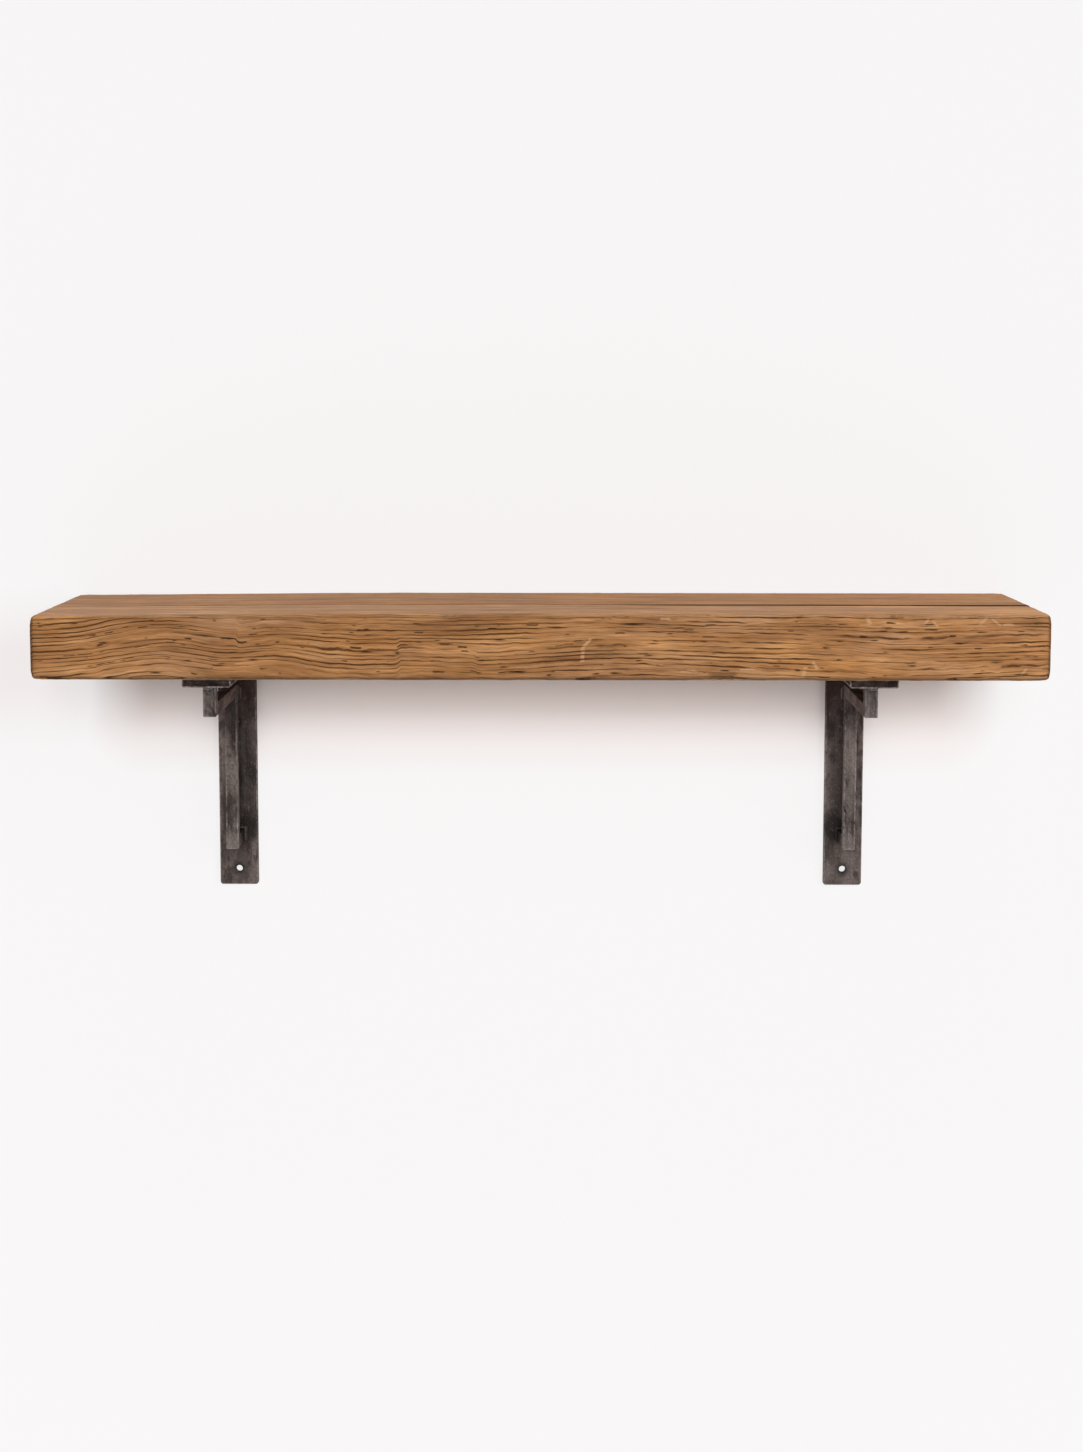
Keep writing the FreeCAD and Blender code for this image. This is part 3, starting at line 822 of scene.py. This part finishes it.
# %% Weather a plank
MASKS = ("ring", "run", "arris", "faded", "dirt_and_shade")
LINE_DEPTH = 0.6
HOLLOW_DEPTH = 0.22
SHELTERED = 0.25
END_RUN, END_EATEN = 0.6, 0.5
EDGE_REACH = 7.0
CORNER_REACH = 10.0
CORNER_WEAR = 1.2
# How much the left end has worn thinner, and the stretch over which it does
THIN_END, THIN_FROM, THIN_TO = 2.3, -120, -470
# Where along the board the upper front edge turns pale with wear, and how pale the lower one is
PALE_FROM, PALE_TO, LOWER_PALE = 20.0, 140.0, 0.6
# How far a normal leans towards a side to count as facing it, as leaning to it, or as on the top
FACING, LEANING, TOPWARD = 0.5, 0.3, 0.6
# Between which leanings the top fades
FADED_RANGE = (0.4, 0.9)
# How dark the sawn ends are with grime, their rounded edges with painted shade, and how dark the
# front's lower and upper edge are
END_DIRT, END_EDGE_SHADE, LOWER_EDGE_DARK, UPPER_EDGE_DARK = 0.2, 0.85, 0.85, 0.4
# How dark grime and painted shade are at the open seam, how dark grime is inside the seam, and how
# far the darkening spreads from the open seam
SEAM_GRIME_AND_SHADE, INNER_DIRT, SEAM_SPREAD = 0.9, 0.5, (3.2, 0.4)


def weather_plank(bm, low, high, pith, front):
    """Sinks every vertex by its lines, knocks and worn edges, and leaves the masks on the mesh."""
    layers = {key: bm.verts.layers.float.new(key) for key in MASKS}
    bm.normal_update()
    for vert in bm.verts:
        x, y, z = vert.co / MM
        normal = vert.normal.copy()
        from_end = min(x - low.x, high.x - x)
        from_face = min(z - low.z, high.z - z), y - low.y if front else high.y - y
        from_seam = abs(y - SEAM_Y / MM)
        long_edge = 1.0 - smoothstep(0.0, EDGE_REACH, max(from_face))
        end_edge = 1.0 - smoothstep(0.0, EDGE_REACH, max(from_end, min(from_face)))
        corner = 1.0 - smoothstep(0.0, CORNER_REACH, max(from_end, *from_face))
        on_end = abs(normal.x) > FACING

        ring = ring_at(x, y, z, *pith)
        run = run_at(ring, x) * (END_RUN if on_end else 1.0)
        hollow = HOLLOW_DEPTH * (1 + wave(x / 38, y / 30, z / 17))
        exposure = 1.0 if normal.y < -FACING else SHELTERED
        sink = exposure * (LINE_DEPTH * line_at(ring, run) + hollow)
        eaten = 0.6 + 0.9 * wave(x / 21, y / 15, z / 15) + 0.5 * wave(x / 6, y / 5, z / 5)
        sink += max(long_edge, END_EATEN * end_edge) * max(eaten, 0.0) + CORNER_WEAR * corner
        # Painted shade along the rounded end edges, grime on the end faces
        dirt_and_shade = max(END_EDGE_SHADE * end_edge ** 2.5, END_DIRT if on_end else 0.0)
        if front:
            depth, dark = knock_at(x, y, z, low, high)
            sink, dirt_and_shade = sink + depth, max(dirt_and_shade, dark)
            # Darker along the front's lower and upper edge
            if normal.y < LEANING and normal.z < TOPWARD:
                dirt_and_shade = max(dirt_and_shade, (LOWER_EDGE_DARK if z < 0 else UPPER_EDGE_DARK) * long_edge ** 2)
        # At the seam: grime with painted shade along its top, grime inside
        if from_seam < TOUCHING / MM:
            sink, long_edge = 0.0, 0.0
            dirt_and_shade = SEAM_GRIME_AND_SHADE * seam_share(x, 0) if z > 0 else INNER_DIRT

        vert.co -= normal * max(sink, 0.0) * MM
        vert.co.z -= smoothstep(low.z, high.z, z) * THIN_END * smoothstep(THIN_FROM, THIN_TO, x) * MM
        if front and normal.z > LEANING:
            vert.co.z -= SEAM_STEP * seam_share(x, from_seam) * MM
            # Grime and painted shade spread from the open seam onto the top
            dirt_and_shade = max(dirt_and_shade, SEAM_GRIME_AND_SHADE * smoothstep(*SEAM_SPREAD, from_seam) * seam_share(x, 0))
        worn = long_edge * (smoothstep(PALE_FROM, PALE_TO, x) if z > 0 else LOWER_PALE)
        for key, value in zip(MASKS, (ring, run, worn, smoothstep(*FADED_RANGE, normal.z), dirt_and_shade)):
            vert[layers[key]] = value


print("masks on a plank:", MASKS)

# %% [markdown]
# Every piece is finished in the same way: its faces are smooth, edges over a limit stay crisp, and the
# object sits at the origin, riding with the part in place of its node.

# %% Make both planks
CREASE_ANGLE = math.radians(50)


def put_in_place(name, bm, material, node):
    """Makes a piece with smooth sides and crisp corners that rides with the part in a node's place."""
    for face in bm.faces:
        face.smooth = True
    for edge in bm.edges:
        edge.smooth = len(edge.link_faces) != 2 or edge.calc_face_angle() < CREASE_ANGLE
    piece = new_object(name, bm, material)
    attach(piece, "root")
    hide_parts(node)
    print(name, len(piece.data.polygons), "faces")


PLANKS = {
    "front_plank": {"pith": FRONT_PITH, "cuts": (300, 44, 84), "material": PINE_FRONT},
    "rear_plank": {"pith": REAR_PITH, "cuts": (260, 60, 40), "material": PINE_REAR},
}
for node, plan in PLANKS.items():
    lowest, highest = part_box(node)
    block = plank_block(lowest, highest, plan["cuts"])
    weather_plank(block, lowest / MM, highest / MM, plan["pith"], node == "front_plank")
    put_in_place(f"weathered_{node}", block, plan["material"], node)

# %% [markdown]
# ## Dark steel
#
# The brackets are hot-rolled bar: nearly black mill scale with a brown cast, cloudy where it was
# handled, and rubbed to bare grey along the edges, a grey bright enough to paint their highlights too.
# The rolling lines run along each bar, so the same recipe is turned for the bars that lie. The meshes
# carry one mask, edge, for the rubbing and its painted highlights. Clouds and patches are placed one
# by one, as soft balls of colour: soot and brushing, painted shade under the board, beside the legs,
# below the arms and at the feet, and a painted highlight on the left leg.

# %% Clouds and patches
# The near-black of soot and pits, which also paints shade, and a warm brown of painted shade
SOOT_AND_SHADE, WARM_SHADE = (0.012, 0.0085, 0.0075, 1), (0.03, 0.0145, 0.0115, 1)
BRUSHED, PALE = (0.12, 0.095, 0.088, 1), (0.19, 0.16, 0.15, 1)
BRACKET_X = round(sum(corner.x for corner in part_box("right_wall_plate")) / 2 / MM, 3)
FOOT_Z = round(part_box("right_foot_bar")[1].z / MM, 3)
# Clouds in mm: middle, reach, share and colour. X is folded, so both brackets have them alike.
# Soot round the foot's weld, together with painted shade where the foot shades the wall plate
FOOT_SOOT_AND_SHADE = ((BRACKET_X - 9, -8, FOOT_Z + 1), (14, 70, 20), 1.0, SOOT_AND_SHADE)
# Painted shade, warm as light bounced from the board, on the wall plates and arms under the board
UNDER_BOARD_SHADE = ((BRACKET_X, -6, -34), (50, 80, 78), 0.75, WARM_SHADE)
BRUSHED_END = ((BRACKET_X, -6, -252), (36, 20, 36), 0.42, BRUSHED)
# Painted shadow of the leg on the wall plate, beside the leg's inner side
LEG_SHADE = ((BRACKET_X - 7, -6, -140), (9, 20, 95), 0.5, SOOT_AND_SHADE)
HOLE_RIM = ((BRACKET_X, -6, -246), (8.0, 20, 8.0), 0.85, SOOT_AND_SHADE)
PIN_RIM = ((BRACKET_X, -6, -98.5), (5.4, 20, 5.4), 0.85, SOOT_AND_SHADE)
PLATE_CLOUDS = (BRUSHED_END, LEG_SHADE, UNDER_BOARD_SHADE, FOOT_SOOT_AND_SHADE, HOLE_RIM, PIN_RIM)
# Patches that only one bracket has, with X as it is
PLATE_PATCHES = (
    ((-286, -6, -110), (7, 8, 26), 0.45, BRUSHED),
    ((-285, -6, -214), (7, 8, 26), 0.6, BRUSHED),
    ((-317, -6, -108), (6, 8, 24), 0.5, BRUSHED),
    ((291, -6, -164), (10, 8, 30), 0.6, BRUSHED),
    ((286, -6, -247), (10, 8, 12), 0.4, PALE),
)
# Leg and post patches, X as it is: the legs' dark tops are painted shade under the arms, and the pale one at
# -140 is a painted highlight
BAR_PATCHES = (
    ((-301, -61, -86), (12, 14, 26), 0.7, SOOT_AND_SHADE),
    ((301, -61, -84), (12, 14, 20), 0.5, SOOT_AND_SHADE),
    ((-303, -61, -140), (11, 14, 26), 0.4, PALE),
    ((-301, -61, -176), (12, 14, 20), 0.45, SOOT_AND_SHADE),
    ((301, -61, -146), (11, 14, 60), 0.36, PALE),
    ((-301, -61, -212), (12, 14, 14), 0.4, PALE),
    ((301, -61, -212), (12, 14, 14), 0.4, PALE),
    ((-301, -219, -54), (12, 14, 22), 0.22, PALE),
    ((301, -219, -54), (12, 14, 22), 0.16, PALE),
)
# Painted shade over the right foot's weld
WELD_PATCHES = (((301, -8, -211), (16, 14, 16), 0.85, SOOT_AND_SHADE),)
CLOUD_FRAY = 0.6


def cloud_mask(tree, where, drift, middle, reach, share):
    """A soft cloud round a point, frayed by noise."""
    offset = vector_math(tree, "SUBTRACT", where, Vector(middle) * MM)[0]
    ratio = vector_math(tree, "DIVIDE", offset, Vector(reach) * MM)[0]
    away = vector_math(tree, "LENGTH", ratio)["Value"]
    return remap(tree, calculate(tree, "MULTIPLY_ADD", drift, CLOUD_FRAY, away), 1.35, 0.8, 0.0, share)


print(len(PLATE_CLOUDS), "clouds,", len(PLATE_PATCHES + BAR_PATCHES + WELD_PATCHES), "patches")

# %% Dark steel
UPRIGHT = (0.0, 0.0, 0.0)
LYING = (math.pi / 2, 0.0, 0.0)
# How much bare tone the edges get, as rubbing and painted highlight, how dark blotches are, how pale flecks
RUB_AND_HIGHLIGHT_SHARE, BLOTCH_SHARE, FLECK_SHARE = 0.9, 0.65, 0.45
GRAIN_RELIEF = 0.5


def make_steel(name, tones, roughness, rolled, clouds=(), patches=(), turned=UPRIGHT, scratched=0.25,
               shine=(0.2, 0.15)):
    """Hot-rolled steel under clear lacquer: cloudy scale, rolling lines, stains, painted shade, and rubbed
    edges that also paint highlights.
    """
    dark, light, bare = tones
    material, tree, shader = new_material(name)
    place = object_place(tree)
    scale = use_group(tree, SCALE, {"Vector": mapped(tree, place, Rotation=turned)})
    inputs = {"Vector": place, "Edge": attribute(tree, "edge"), "Grain": 150.0}
    wear = calculate(tree, "MULTIPLY", use_group(tree, WEAR, inputs)["Wear"], RUB_AND_HIGHLIGHT_SHARE)

    cloudy = calculate(tree, "MULTIPLY", remap(tree, scale["Mottle"], 0.41, 0.6), 1 - rolled)
    lines = remap(tree, scale["Smear"], 0.36, 0.64)
    mixed = calculate(tree, "MULTIPLY_ADD", lines, rolled, cloudy)
    colour = colour_ramp(tree, mixed, [(0.1, dark), (0.9, light)])
    colour = blend_colours(tree, wear, colour, (*bare, 1))
    drift = stretched_noise(tree, place, (120.0, 120.0, 120.0), 3.0, 0.6)
    for where, marks in ((place, patches), (fold_sides(tree, place), clouds)):
        for *shape, tint in marks:
            colour = blend_colours(tree, cloud_mask(tree, where, drift, *shape), colour, tint)
    grit = remap(tree, scale["Specks"], 0.35, 0.65, 0.76, 1.22)
    colour = blend_colours(tree, 1.0, colour, grit, "MULTIPLY")
    in_dark = remap(tree, scale["Mottle"], 0.62, 0.42, 0.0, scratched)
    scratches = calculate(tree, "MULTIPLY", scale["Scratch"], in_dark)
    blotches = calculate(tree, "MULTIPLY", scale["Blotch"], BLOTCH_SHARE)
    pits = calculate(tree, "MAXIMUM", blotches, scratches)
    colour = blend_colours(tree, pits, colour, SOOT_AND_SHADE)
    flecks = remap(tree, scale["Specks"], 0.64, 0.7, 0.0, FLECK_SHARE)
    colour = blend_colours(tree, flecks, colour, PALE)

    grain = calculate(tree, "ADD", scale["Specks"], scale["Smear"])
    grain = calculate(tree, "MULTIPLY", grain, GRAIN_RELIEF)
    height = calculate(tree, "SUBTRACT", grain, pits)
    relief = add_node(tree, "ShaderNodeBump", {"Height": height, "Strength": 0.5, "Distance": 0.35 * MM})
    metallic, specular = shine
    feed(tree, shader, {
        "Base Color": colour, "Normal": relief.outputs[0],
        "Metallic": metallic, "Specular IOR Level": specular,
        "Roughness": remap(tree, scale["Mottle"], 0.3, 0.7, roughness + 0.1, roughness - 0.08),
    })
    return material


# Tones of a steel: scale at its darkest and lightest, and bare metal on rubbed edges, bright enough
# to paint their highlights too
PLATE_TONES = ((0.016, 0.0105, 0.009), (0.098, 0.076, 0.069), (0.24, 0.2, 0.19))
SHELF_TONES = ((0.006, 0.0035, 0.0028), (0.04, 0.0255, 0.022), (0.36, 0.295, 0.28))
POST_TONES = ((0.034, 0.0245, 0.0215), (0.155, 0.127, 0.119), (0.25, 0.215, 0.205))
# The arms' tones are redder than the rest, a painted warm light bounced from the board
ARM_TONES = ((0.058, 0.035, 0.03), (0.155, 0.104, 0.093), (0.17, 0.118, 0.106))
WELD_TONES = ((0.03, 0.022, 0.019), (0.085, 0.068, 0.062), (0.26, 0.22, 0.205))
SCREW_TONES = ((0.05, 0.042, 0.038), (0.12, 0.102, 0.096), (0.24, 0.21, 0.2))
UPRIGHT_FLAT = make_steel("upright_flat_bar", PLATE_TONES, 0.52, 0.25, PLATE_CLOUDS, PLATE_PATCHES)
LYING_FLAT = make_steel("lying_flat_bar", SHELF_TONES, 0.6, 0.3,
                        turned=LYING, scratched=0.5, shine=(0.1, 0.08))
UPRIGHT_BAR = make_steel("upright_square_bar", POST_TONES, 0.6, 0.35, (), BAR_PATCHES,
                         scratched=0.9, shine=(0.0, 0.06))
LYING_BAR = make_steel("lying_square_bar", ARM_TONES, 0.7, 0.4, (FOOT_SOOT_AND_SHADE, UNDER_BOARD_SHADE),
                       turned=LYING, shine=(0.0, 0.05))
WELD_STEEL = make_steel("weld_steel", WELD_TONES, 0.45, 0.1, (), WELD_PATCHES)
SCREW_STEEL = make_steel("screw_steel", SCREW_TONES, 0.4, 0.1)
print("steel finishes made")

# %% [markdown]
# ## Square bars
#
# Each length of the inner rail is a box with eased edges. The edge mask, for the rubbing and its
# painted highlight, is measured from the box: it is 1 close to two of its sides at once, and 0 a
# little further in. An inset loop on each side gives the mask vertices to end at.

# %% Square bars
SIDES = ("left", "right")
BAR_EASE = 1.0 * MM
BAR_SEGMENTS = 3
RUB_WIDTH = 0.8 * MM
SQUARE_ON = 0.999


def leave_edge_mask(bm, low, high, ease):
    """The edge mask is 1 on a bar's eased edges, which lie near two sides of its box, and 0 beyond."""
    mask = bm.verts.layers.float.new("edge")
    for vert in bm.verts:
        depths = sorted(min(vert.co[k] - low[k], high[k] - vert.co[k]) for k in range(3))
        vert[mask] = 1.0 - smoothstep(ease, ease + RUB_WIDTH, depths[1])


def make_bar(node):
    """A length of square bar in the place of its node."""
    low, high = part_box(node)
    bm = new_block(low, high)
    ease_edges(bm, list(bm.edges), BAR_EASE, BAR_SEGMENTS)
    bm.normal_update()
    sides = [f for f in bm.faces if max(abs(c) for c in f.normal) > SQUARE_ON]
    bmesh.ops.inset_individual(bm, faces=sides, thickness=RUB_WIDTH, use_even_offset=True)
    leave_edge_mask(bm, low, high, BAR_EASE)
    return bm


RAIL = {"front_post": UPRIGHT_BAR, "arm_bar": LYING_BAR, "leg_bar": UPRIGHT_BAR, "foot_bar": LYING_BAR}
for side in SIDES:
    for length, steel in RAIL.items():
        node = f"{side}_{length}"
        put_in_place(f"eased_{node}", make_bar(node), steel, node)

# %% [markdown]
# ## Flat bars
#
# The frame's plates already have their outline and holes, but no eased edges to catch the light. A
# copy of the node's mesh is loose triangles, so its corners are merged first. Then every sharp edge,
# round the holes too, is bevelled, and the flat sides are inset to keep the rubbing and its painted
# highlight at the edge.

# %% Flat bars
PLATE_EASE = 0.7 * MM
PLATE_SEGMENTS = 2
MERGE_DISTANCE = 0.001 * MM
SHARP_ANGLE = math.radians(40)
FLAT_ANGLE = math.radians(0.5)


def make_plate(node):
    """A flat bar in the place of its node."""
    bm = bmesh.new()
    bm.from_mesh(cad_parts[node].data)
    bmesh.ops.remove_doubles(bm, verts=bm.verts, dist=MERGE_DISTANCE)
    bmesh.ops.dissolve_limit(bm, angle_limit=FLAT_ANGLE, verts=bm.verts, edges=bm.edges)
    sharp = [e for e in bm.edges if len(e.link_faces) == 2 and e.calc_face_angle() > SHARP_ANGLE]
    ease_edges(bm, sharp, PLATE_EASE, PLATE_SEGMENTS)
    bm.normal_update()
    low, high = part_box(node)
    for axis in range(3):
        for level in (low[axis], high[axis]):
            bmesh.ops.inset_region(bm, faces=faces_at(bm, axis, level), thickness=RUB_WIDTH,
                                   use_even_offset=True, use_boundary=True)
    leave_edge_mask(bm, low, high, PLATE_EASE)
    return bm


PLATES = {"wall_plate": UPRIGHT_FLAT, "shelf_plate": LYING_FLAT}
for side in SIDES:
    for kind, steel in PLATES.items():
        node = f"{side}_{kind}"
        put_in_place(f"eased_{node}", make_plate(node), steel, node)

# %% [markdown]
# ## Weld beads
#
# A weld is laid in small overlapping pools, which leave ripples. Each bead starts as a quarter disc in
# the corner of two faces: one vertex is spun into an arc. That outline is extruded station by station,
# and each station is scaled a little more or less than the last. At the foot the bead goes round the
# bar, so its path has straight runs and quarter turns about the bar's corners.

# %% Lay a bead
ARC_STEPS = 7
RIPPLE_PITCH = 2.1 * MM
RIPPLE_DEPTH, UNEVEN_DEPTH = 0.14, 0.06
STATION_STEP = 0.35 * MM
QUARTER_TURN = math.pi / 2


def ripple(distance, seed):
    """The share of its full size that a bead has at a distance along it."""
    uneven = wave(distance / MM * 0.16, seed, 0)
    beat = 0.5 + 0.5 * math.cos(2 * math.pi * distance / RIPPLE_PITCH + 2 * uneven)
    return 1.0 - RIPPLE_DEPTH * beat - UNEVEN_DEPTH * (1 + uneven)


def bead_stations(start, heading, path, radius):
    """The places of a bead's outline along its path: (matrix, distance), one per station."""
    here, distance = Matrix.Translation(start), 0.0
    stations = [(here, distance)]
    for length, turn in path:
        for travel, angle in ((length, 0.0), (abs(turn) * radius / 2, turn)):
            steps = round(travel / STATION_STEP)
            for _ in range(steps):
                pivot = Matrix.Translation(here.translation)
                rotation = Matrix.Rotation(angle / steps, 4, "Y")
                onward = Vector() if angle else heading * (length / steps)
                here = Matrix.Translation(onward) @ pivot @ rotation @ pivot.inverted() @ here
                heading = rotation.to_3x3() @ heading
                distance += travel / steps
                stations.append((here, distance))
    return stations


def verts_among(parts):
    """The vertices among the parts that an operator has made."""
    return [part for part in parts if isinstance(part, bmesh.types.BMVert)]


def extrude_ring(bm, ring):
    """Extrudes a ring of edges in its place. Returns the new vertices and the new ring."""
    grown = bmesh.ops.extrude_edge_only(bm, edges=ring)["geom"]
    verts = verts_among(grown)
    edges = [part for part in grown if isinstance(part, bmesh.types.BMEdge)]
    return verts, [e for e in edges if all(v in verts for v in e.verts)]


def lay_bead(bm, start, heading, first, second, radius, path):
    """Extrudes a quarter disc, which fills the corner between two directions, along a path."""
    known = set(bm.edges)
    corner, tip = bm.verts.new((0, 0, 0)), bm.verts.new(first * radius)
    spun = bmesh.ops.spin(bm, geom=[tip], cent=(0, 0, 0), axis=first.cross(second),
                          angle=QUARTER_TURN, steps=ARC_STEPS)
    bm.edges.new((corner, tip))
    bm.edges.new((verts_among(spun["geom_last"])[0], corner))
    ring = [e for e in bm.edges if e not in known]
    verts = list({v for e in ring for v in e.verts})
    undo = Matrix.Identity(4)
    bmesh.ops.contextual_create(bm, geom=ring)
    for count, (here, distance) in enumerate(bead_stations(start, heading, path, radius)):
        if count:
            verts, ring = extrude_ring(bm, ring)
        outline = here @ Matrix.Scale(ripple(distance, start.x / MM), 4)
        bmesh.ops.transform(bm, matrix=outline @ undo, verts=verts)
        undo = outline.inverted()
    bmesh.ops.contextual_create(bm, geom=ring)


print("a bead has", round(RIPPLE_PITCH / STATION_STEP), "stations to a ripple")

# %% [markdown]
# Each bracket has one long bead where its two flat bars meet, three short ones in corners of its rail
# and a collar round the end of the foot bar. They start from the corners of the bars' own boxes.

# %% Weld the brackets
RIGHT, BACK, UP = Vector((1, 0, 0)), Vector((0, 1, 0)), Vector((0, 0, 1))
CORNER_BEAD, RAIL_BEAD = 5 * MM, 3 * MM
SHORTEST_EDGE = 0.002 * MM
WELD_RUB = 0.2


def fill_edge_mask(bm, value):
    """The same rubbing all over."""
    mask = bm.verts.layers.float.new("edge")
    for vert in bm.verts:
        vert[mask] = value


def close_beads(bm, node):
    """Merges the beads' turned corners, points their faces outwards and puts them in a node's place."""
    bmesh.ops.remove_doubles(bm, verts=bm.verts, dist=MERGE_DISTANCE)
    bmesh.ops.dissolve_degenerate(bm, dist=SHORTEST_EDGE, edges=bm.edges)
    bmesh.ops.recalc_face_normals(bm, faces=bm.faces)
    fill_edge_mask(bm, WELD_RUB)
    put_in_place(f"rippled_{node}", bm, WELD_STEEL, node)


for side in SIDES:
    plate_low, plate_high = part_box(f"{side}_wall_plate")
    bm = bmesh.new()
    lay_bead(bm, Vector((plate_low.x, plate_low.y, plate_high.z)), RIGHT, -BACK, -UP, CORNER_BEAD,
             [(plate_high.x - plate_low.x, 0.0)])
    close_beads(bm, f"{side}_corner_weld")

    post_low, post_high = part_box(f"{side}_front_post")
    arm_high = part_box(f"{side}_arm_bar")[1]
    foot_low, foot_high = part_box(f"{side}_foot_bar")
    across = post_high.x - post_low.x
    corners = ((post_high.y, post_high.z, -UP), (post_high.y, arm_high.z, UP), (foot_low.y, foot_high.z, UP))
    bm = bmesh.new()
    for y, z, rise in corners:
        lay_bead(bm, Vector((post_low.x, y, z)), RIGHT, BACK, rise, RAIL_BEAD, [(across, 0.0)])
    collar = [(across, QUARTER_TURN), (across, QUARTER_TURN), (across, 0.0)]
    lay_bead(bm, Vector((foot_low.x, foot_high.y, foot_low.z)), UP, -BACK, -RIGHT, RAIL_BEAD, collar)
    close_beads(bm, f"{side}_rail_welds")

# %% [markdown]
# ## Screws
#
# The board is held by wood screws from below. A pan head with a cross recess starts as a grid of three
# by three cells: its cross of five cells is sunk, its border is bridged to a circle, and the circle is
# extruded over the rim down to the plate. The shank inside the board is a taper on the head.

# %% Screws
HEAD_RADIUS = 4.75 * MM
HEAD_HEIGHT = 3.0 * MM
RECESS_HALF = 2.5 * MM
RECESS_ARM = 0.55 * MM
RECESS_DEPTH = 1.5 * MM
RECESS_TAPER = 0.8
SHANK_RADIUS = 2.3 * MM
# How much of the length is straight, how much is the point, and the point's share of the radius
SHANK_SHARE, POINT_SHARE, POINT_WIDTH = 0.8, 0.2, 0.08
RIM_COUNT = 24
# The head's circles as shares of its radius: where its dome starts, and its rim
DOME, RIM = 0.86, 0.97
# The head's steps from the dome up to the plate, as shares of its height
DOME_RISE, RIM_RISE, WALL_RISE = 0.24, 0.3, 0.32


def make_recess(bm):
    """A square with a cross sunk into it. Returns the edges of its border."""
    bmesh.ops.create_grid(bm, x_segments=3, y_segments=3, size=RECESS_HALF)
    for axis in range(2):
        inner = [v for v in bm.verts if abs(v.co[axis]) < RECESS_HALF / 2]
        squeeze = Vector((1, 1, 1))
        squeeze[axis] = RECESS_ARM / (RECESS_HALF / 3)
        bmesh.ops.scale(bm, vec=squeeze, verts=inner)
    bmesh.ops.subdivide_edges(bm, edges=[e for e in bm.edges if e.is_boundary], cuts=1)
    border = [e for e in bm.edges if e.is_boundary]
    cross = [f for f in bm.faces if min(abs(c) for c in f.calc_center_median()[:2]) < RECESS_ARM / 2]
    floor = verts_among(bmesh.ops.extrude_face_region(bm, geom=cross)["geom"])
    bmesh.ops.delete(bm, geom=cross, context="FACES")
    bmesh.ops.translate(bm, vec=(0, 0, RECESS_DEPTH), verts=floor)
    bmesh.ops.scale(bm, vec=(RECESS_TAPER, RECESS_TAPER, 1), verts=floor)
    return border


def make_screw(length):
    """A screw whose head's underside lies at z = 0, with the head below and the shank above."""
    bm = bmesh.new()
    border = make_recess(bm)
    bmesh.ops.translate(bm, vec=(0, 0, -HEAD_HEIGHT), verts=bm.verts)
    known = set(bm.edges)
    turned = Matrix.Translation((0, 0, -DOME * HEAD_HEIGHT)) @ Matrix.Rotation(math.pi / 4, 4, "Z")
    bmesh.ops.create_circle(bm, segments=RIM_COUNT, radius=DOME * HEAD_RADIUS, matrix=turned)
    ring = [e for e in bm.edges if e not in known]
    bmesh.ops.bridge_loops(bm, edges=border + ring)
    steps = (
        (1 / DOME * RIM, DOME_RISE * HEAD_HEIGHT), (1 / RIM, RIM_RISE * HEAD_HEIGHT),
        (1.0, WALL_RISE * HEAD_HEIGHT), (SHANK_RADIUS / HEAD_RADIUS, 0.0),
        (1.0, SHANK_SHARE * length), (POINT_WIDTH, POINT_SHARE * length),
    )
    for share, rise in steps:
        verts, ring = extrude_ring(bm, ring)
        bmesh.ops.scale(bm, vec=(share, share, 1), verts=verts)
        bmesh.ops.translate(bm, vec=(0, 0, rise), verts=verts)
    bmesh.ops.contextual_create(bm, geom=ring)
    bmesh.ops.recalc_face_normals(bm, faces=bm.faces)
    return bm


print("screw heads of", 2 * HEAD_RADIUS / MM, "mm")

# %% [markdown]
# Each shelf plate has one screw near its front end and two side by side behind. A driver leaves every
# cross at another angle, so each screw is turned a little further than the last.

# %% Place the screws
SCREW_TURN = math.radians(37)
SCREW_RUB = 0.4
# One screw in front and two behind, in mm: offset from the plate's middle, and Y
SCREW_PLACES = ((0.0, -230.0), (-14.0, -92.0), (14.0, -92.0))
for side in SIDES:
    screws_low, screws_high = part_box(f"{side}_shelf_screws")
    middle = (screws_low.x + screws_high.x) / 2
    seat = screws_low.z + HEAD_HEIGHT
    bm = bmesh.new()
    for count, (offset, y) in enumerate(SCREW_PLACES):
        screw = make_screw(screws_high.z - seat)
        turn = Matrix.Rotation(SCREW_TURN * (count + 1), 4, "Z")
        place = Matrix.Translation((middle + offset * MM, y * MM, seat)) @ turn
        bmesh.ops.transform(screw, matrix=place, verts=screw.verts)
        spare = bpy.data.meshes.new("spare")
        screw.to_mesh(spare)
        screw.free()
        bm.from_mesh(spare)
        bpy.data.meshes.remove(spare)
    fill_edge_mask(bm, SCREW_RUB)
    put_in_place(f"cross_head_{side}_screws", bm, SCREW_STEEL, f"{side}_shelf_screws")

# %% [markdown]
# ## Dowels
#
# The dowels sit inside the seam and never show, so the frame's own shape is enough. They still get a
# wood finish, paler and plainer than the board's, with the fibre along each dowel.

# %% Dowels
def make_dowel_wood(name):
    """Pale hardwood with fine fibre along Y."""
    material, tree, shader = new_material(name)
    grain = mapped(tree, object_place(tree), Scale=(1 / MM, 1 / MM, 1 / MM))
    fibre = use_group(tree, FIBRE, {"Grain": grain})
    stops = [(0.35, (0.42, 0.26, 0.13)), (0.65, (0.58, 0.39, 0.21))]
    feed(tree, shader, {
        "Base Color": colour_ramp(tree, fibre["Thread"], stops),
        "Roughness": remap(tree, fibre["Streak"], 0.3, 0.7, 0.5, 0.7),
    })
    return material


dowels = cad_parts["seam_dowels"].data
dowels.materials.clear()
dowels.materials.append(make_dowel_wood("dowel_wood"))
print("dowels keep", len(dowels.polygons), "faces")
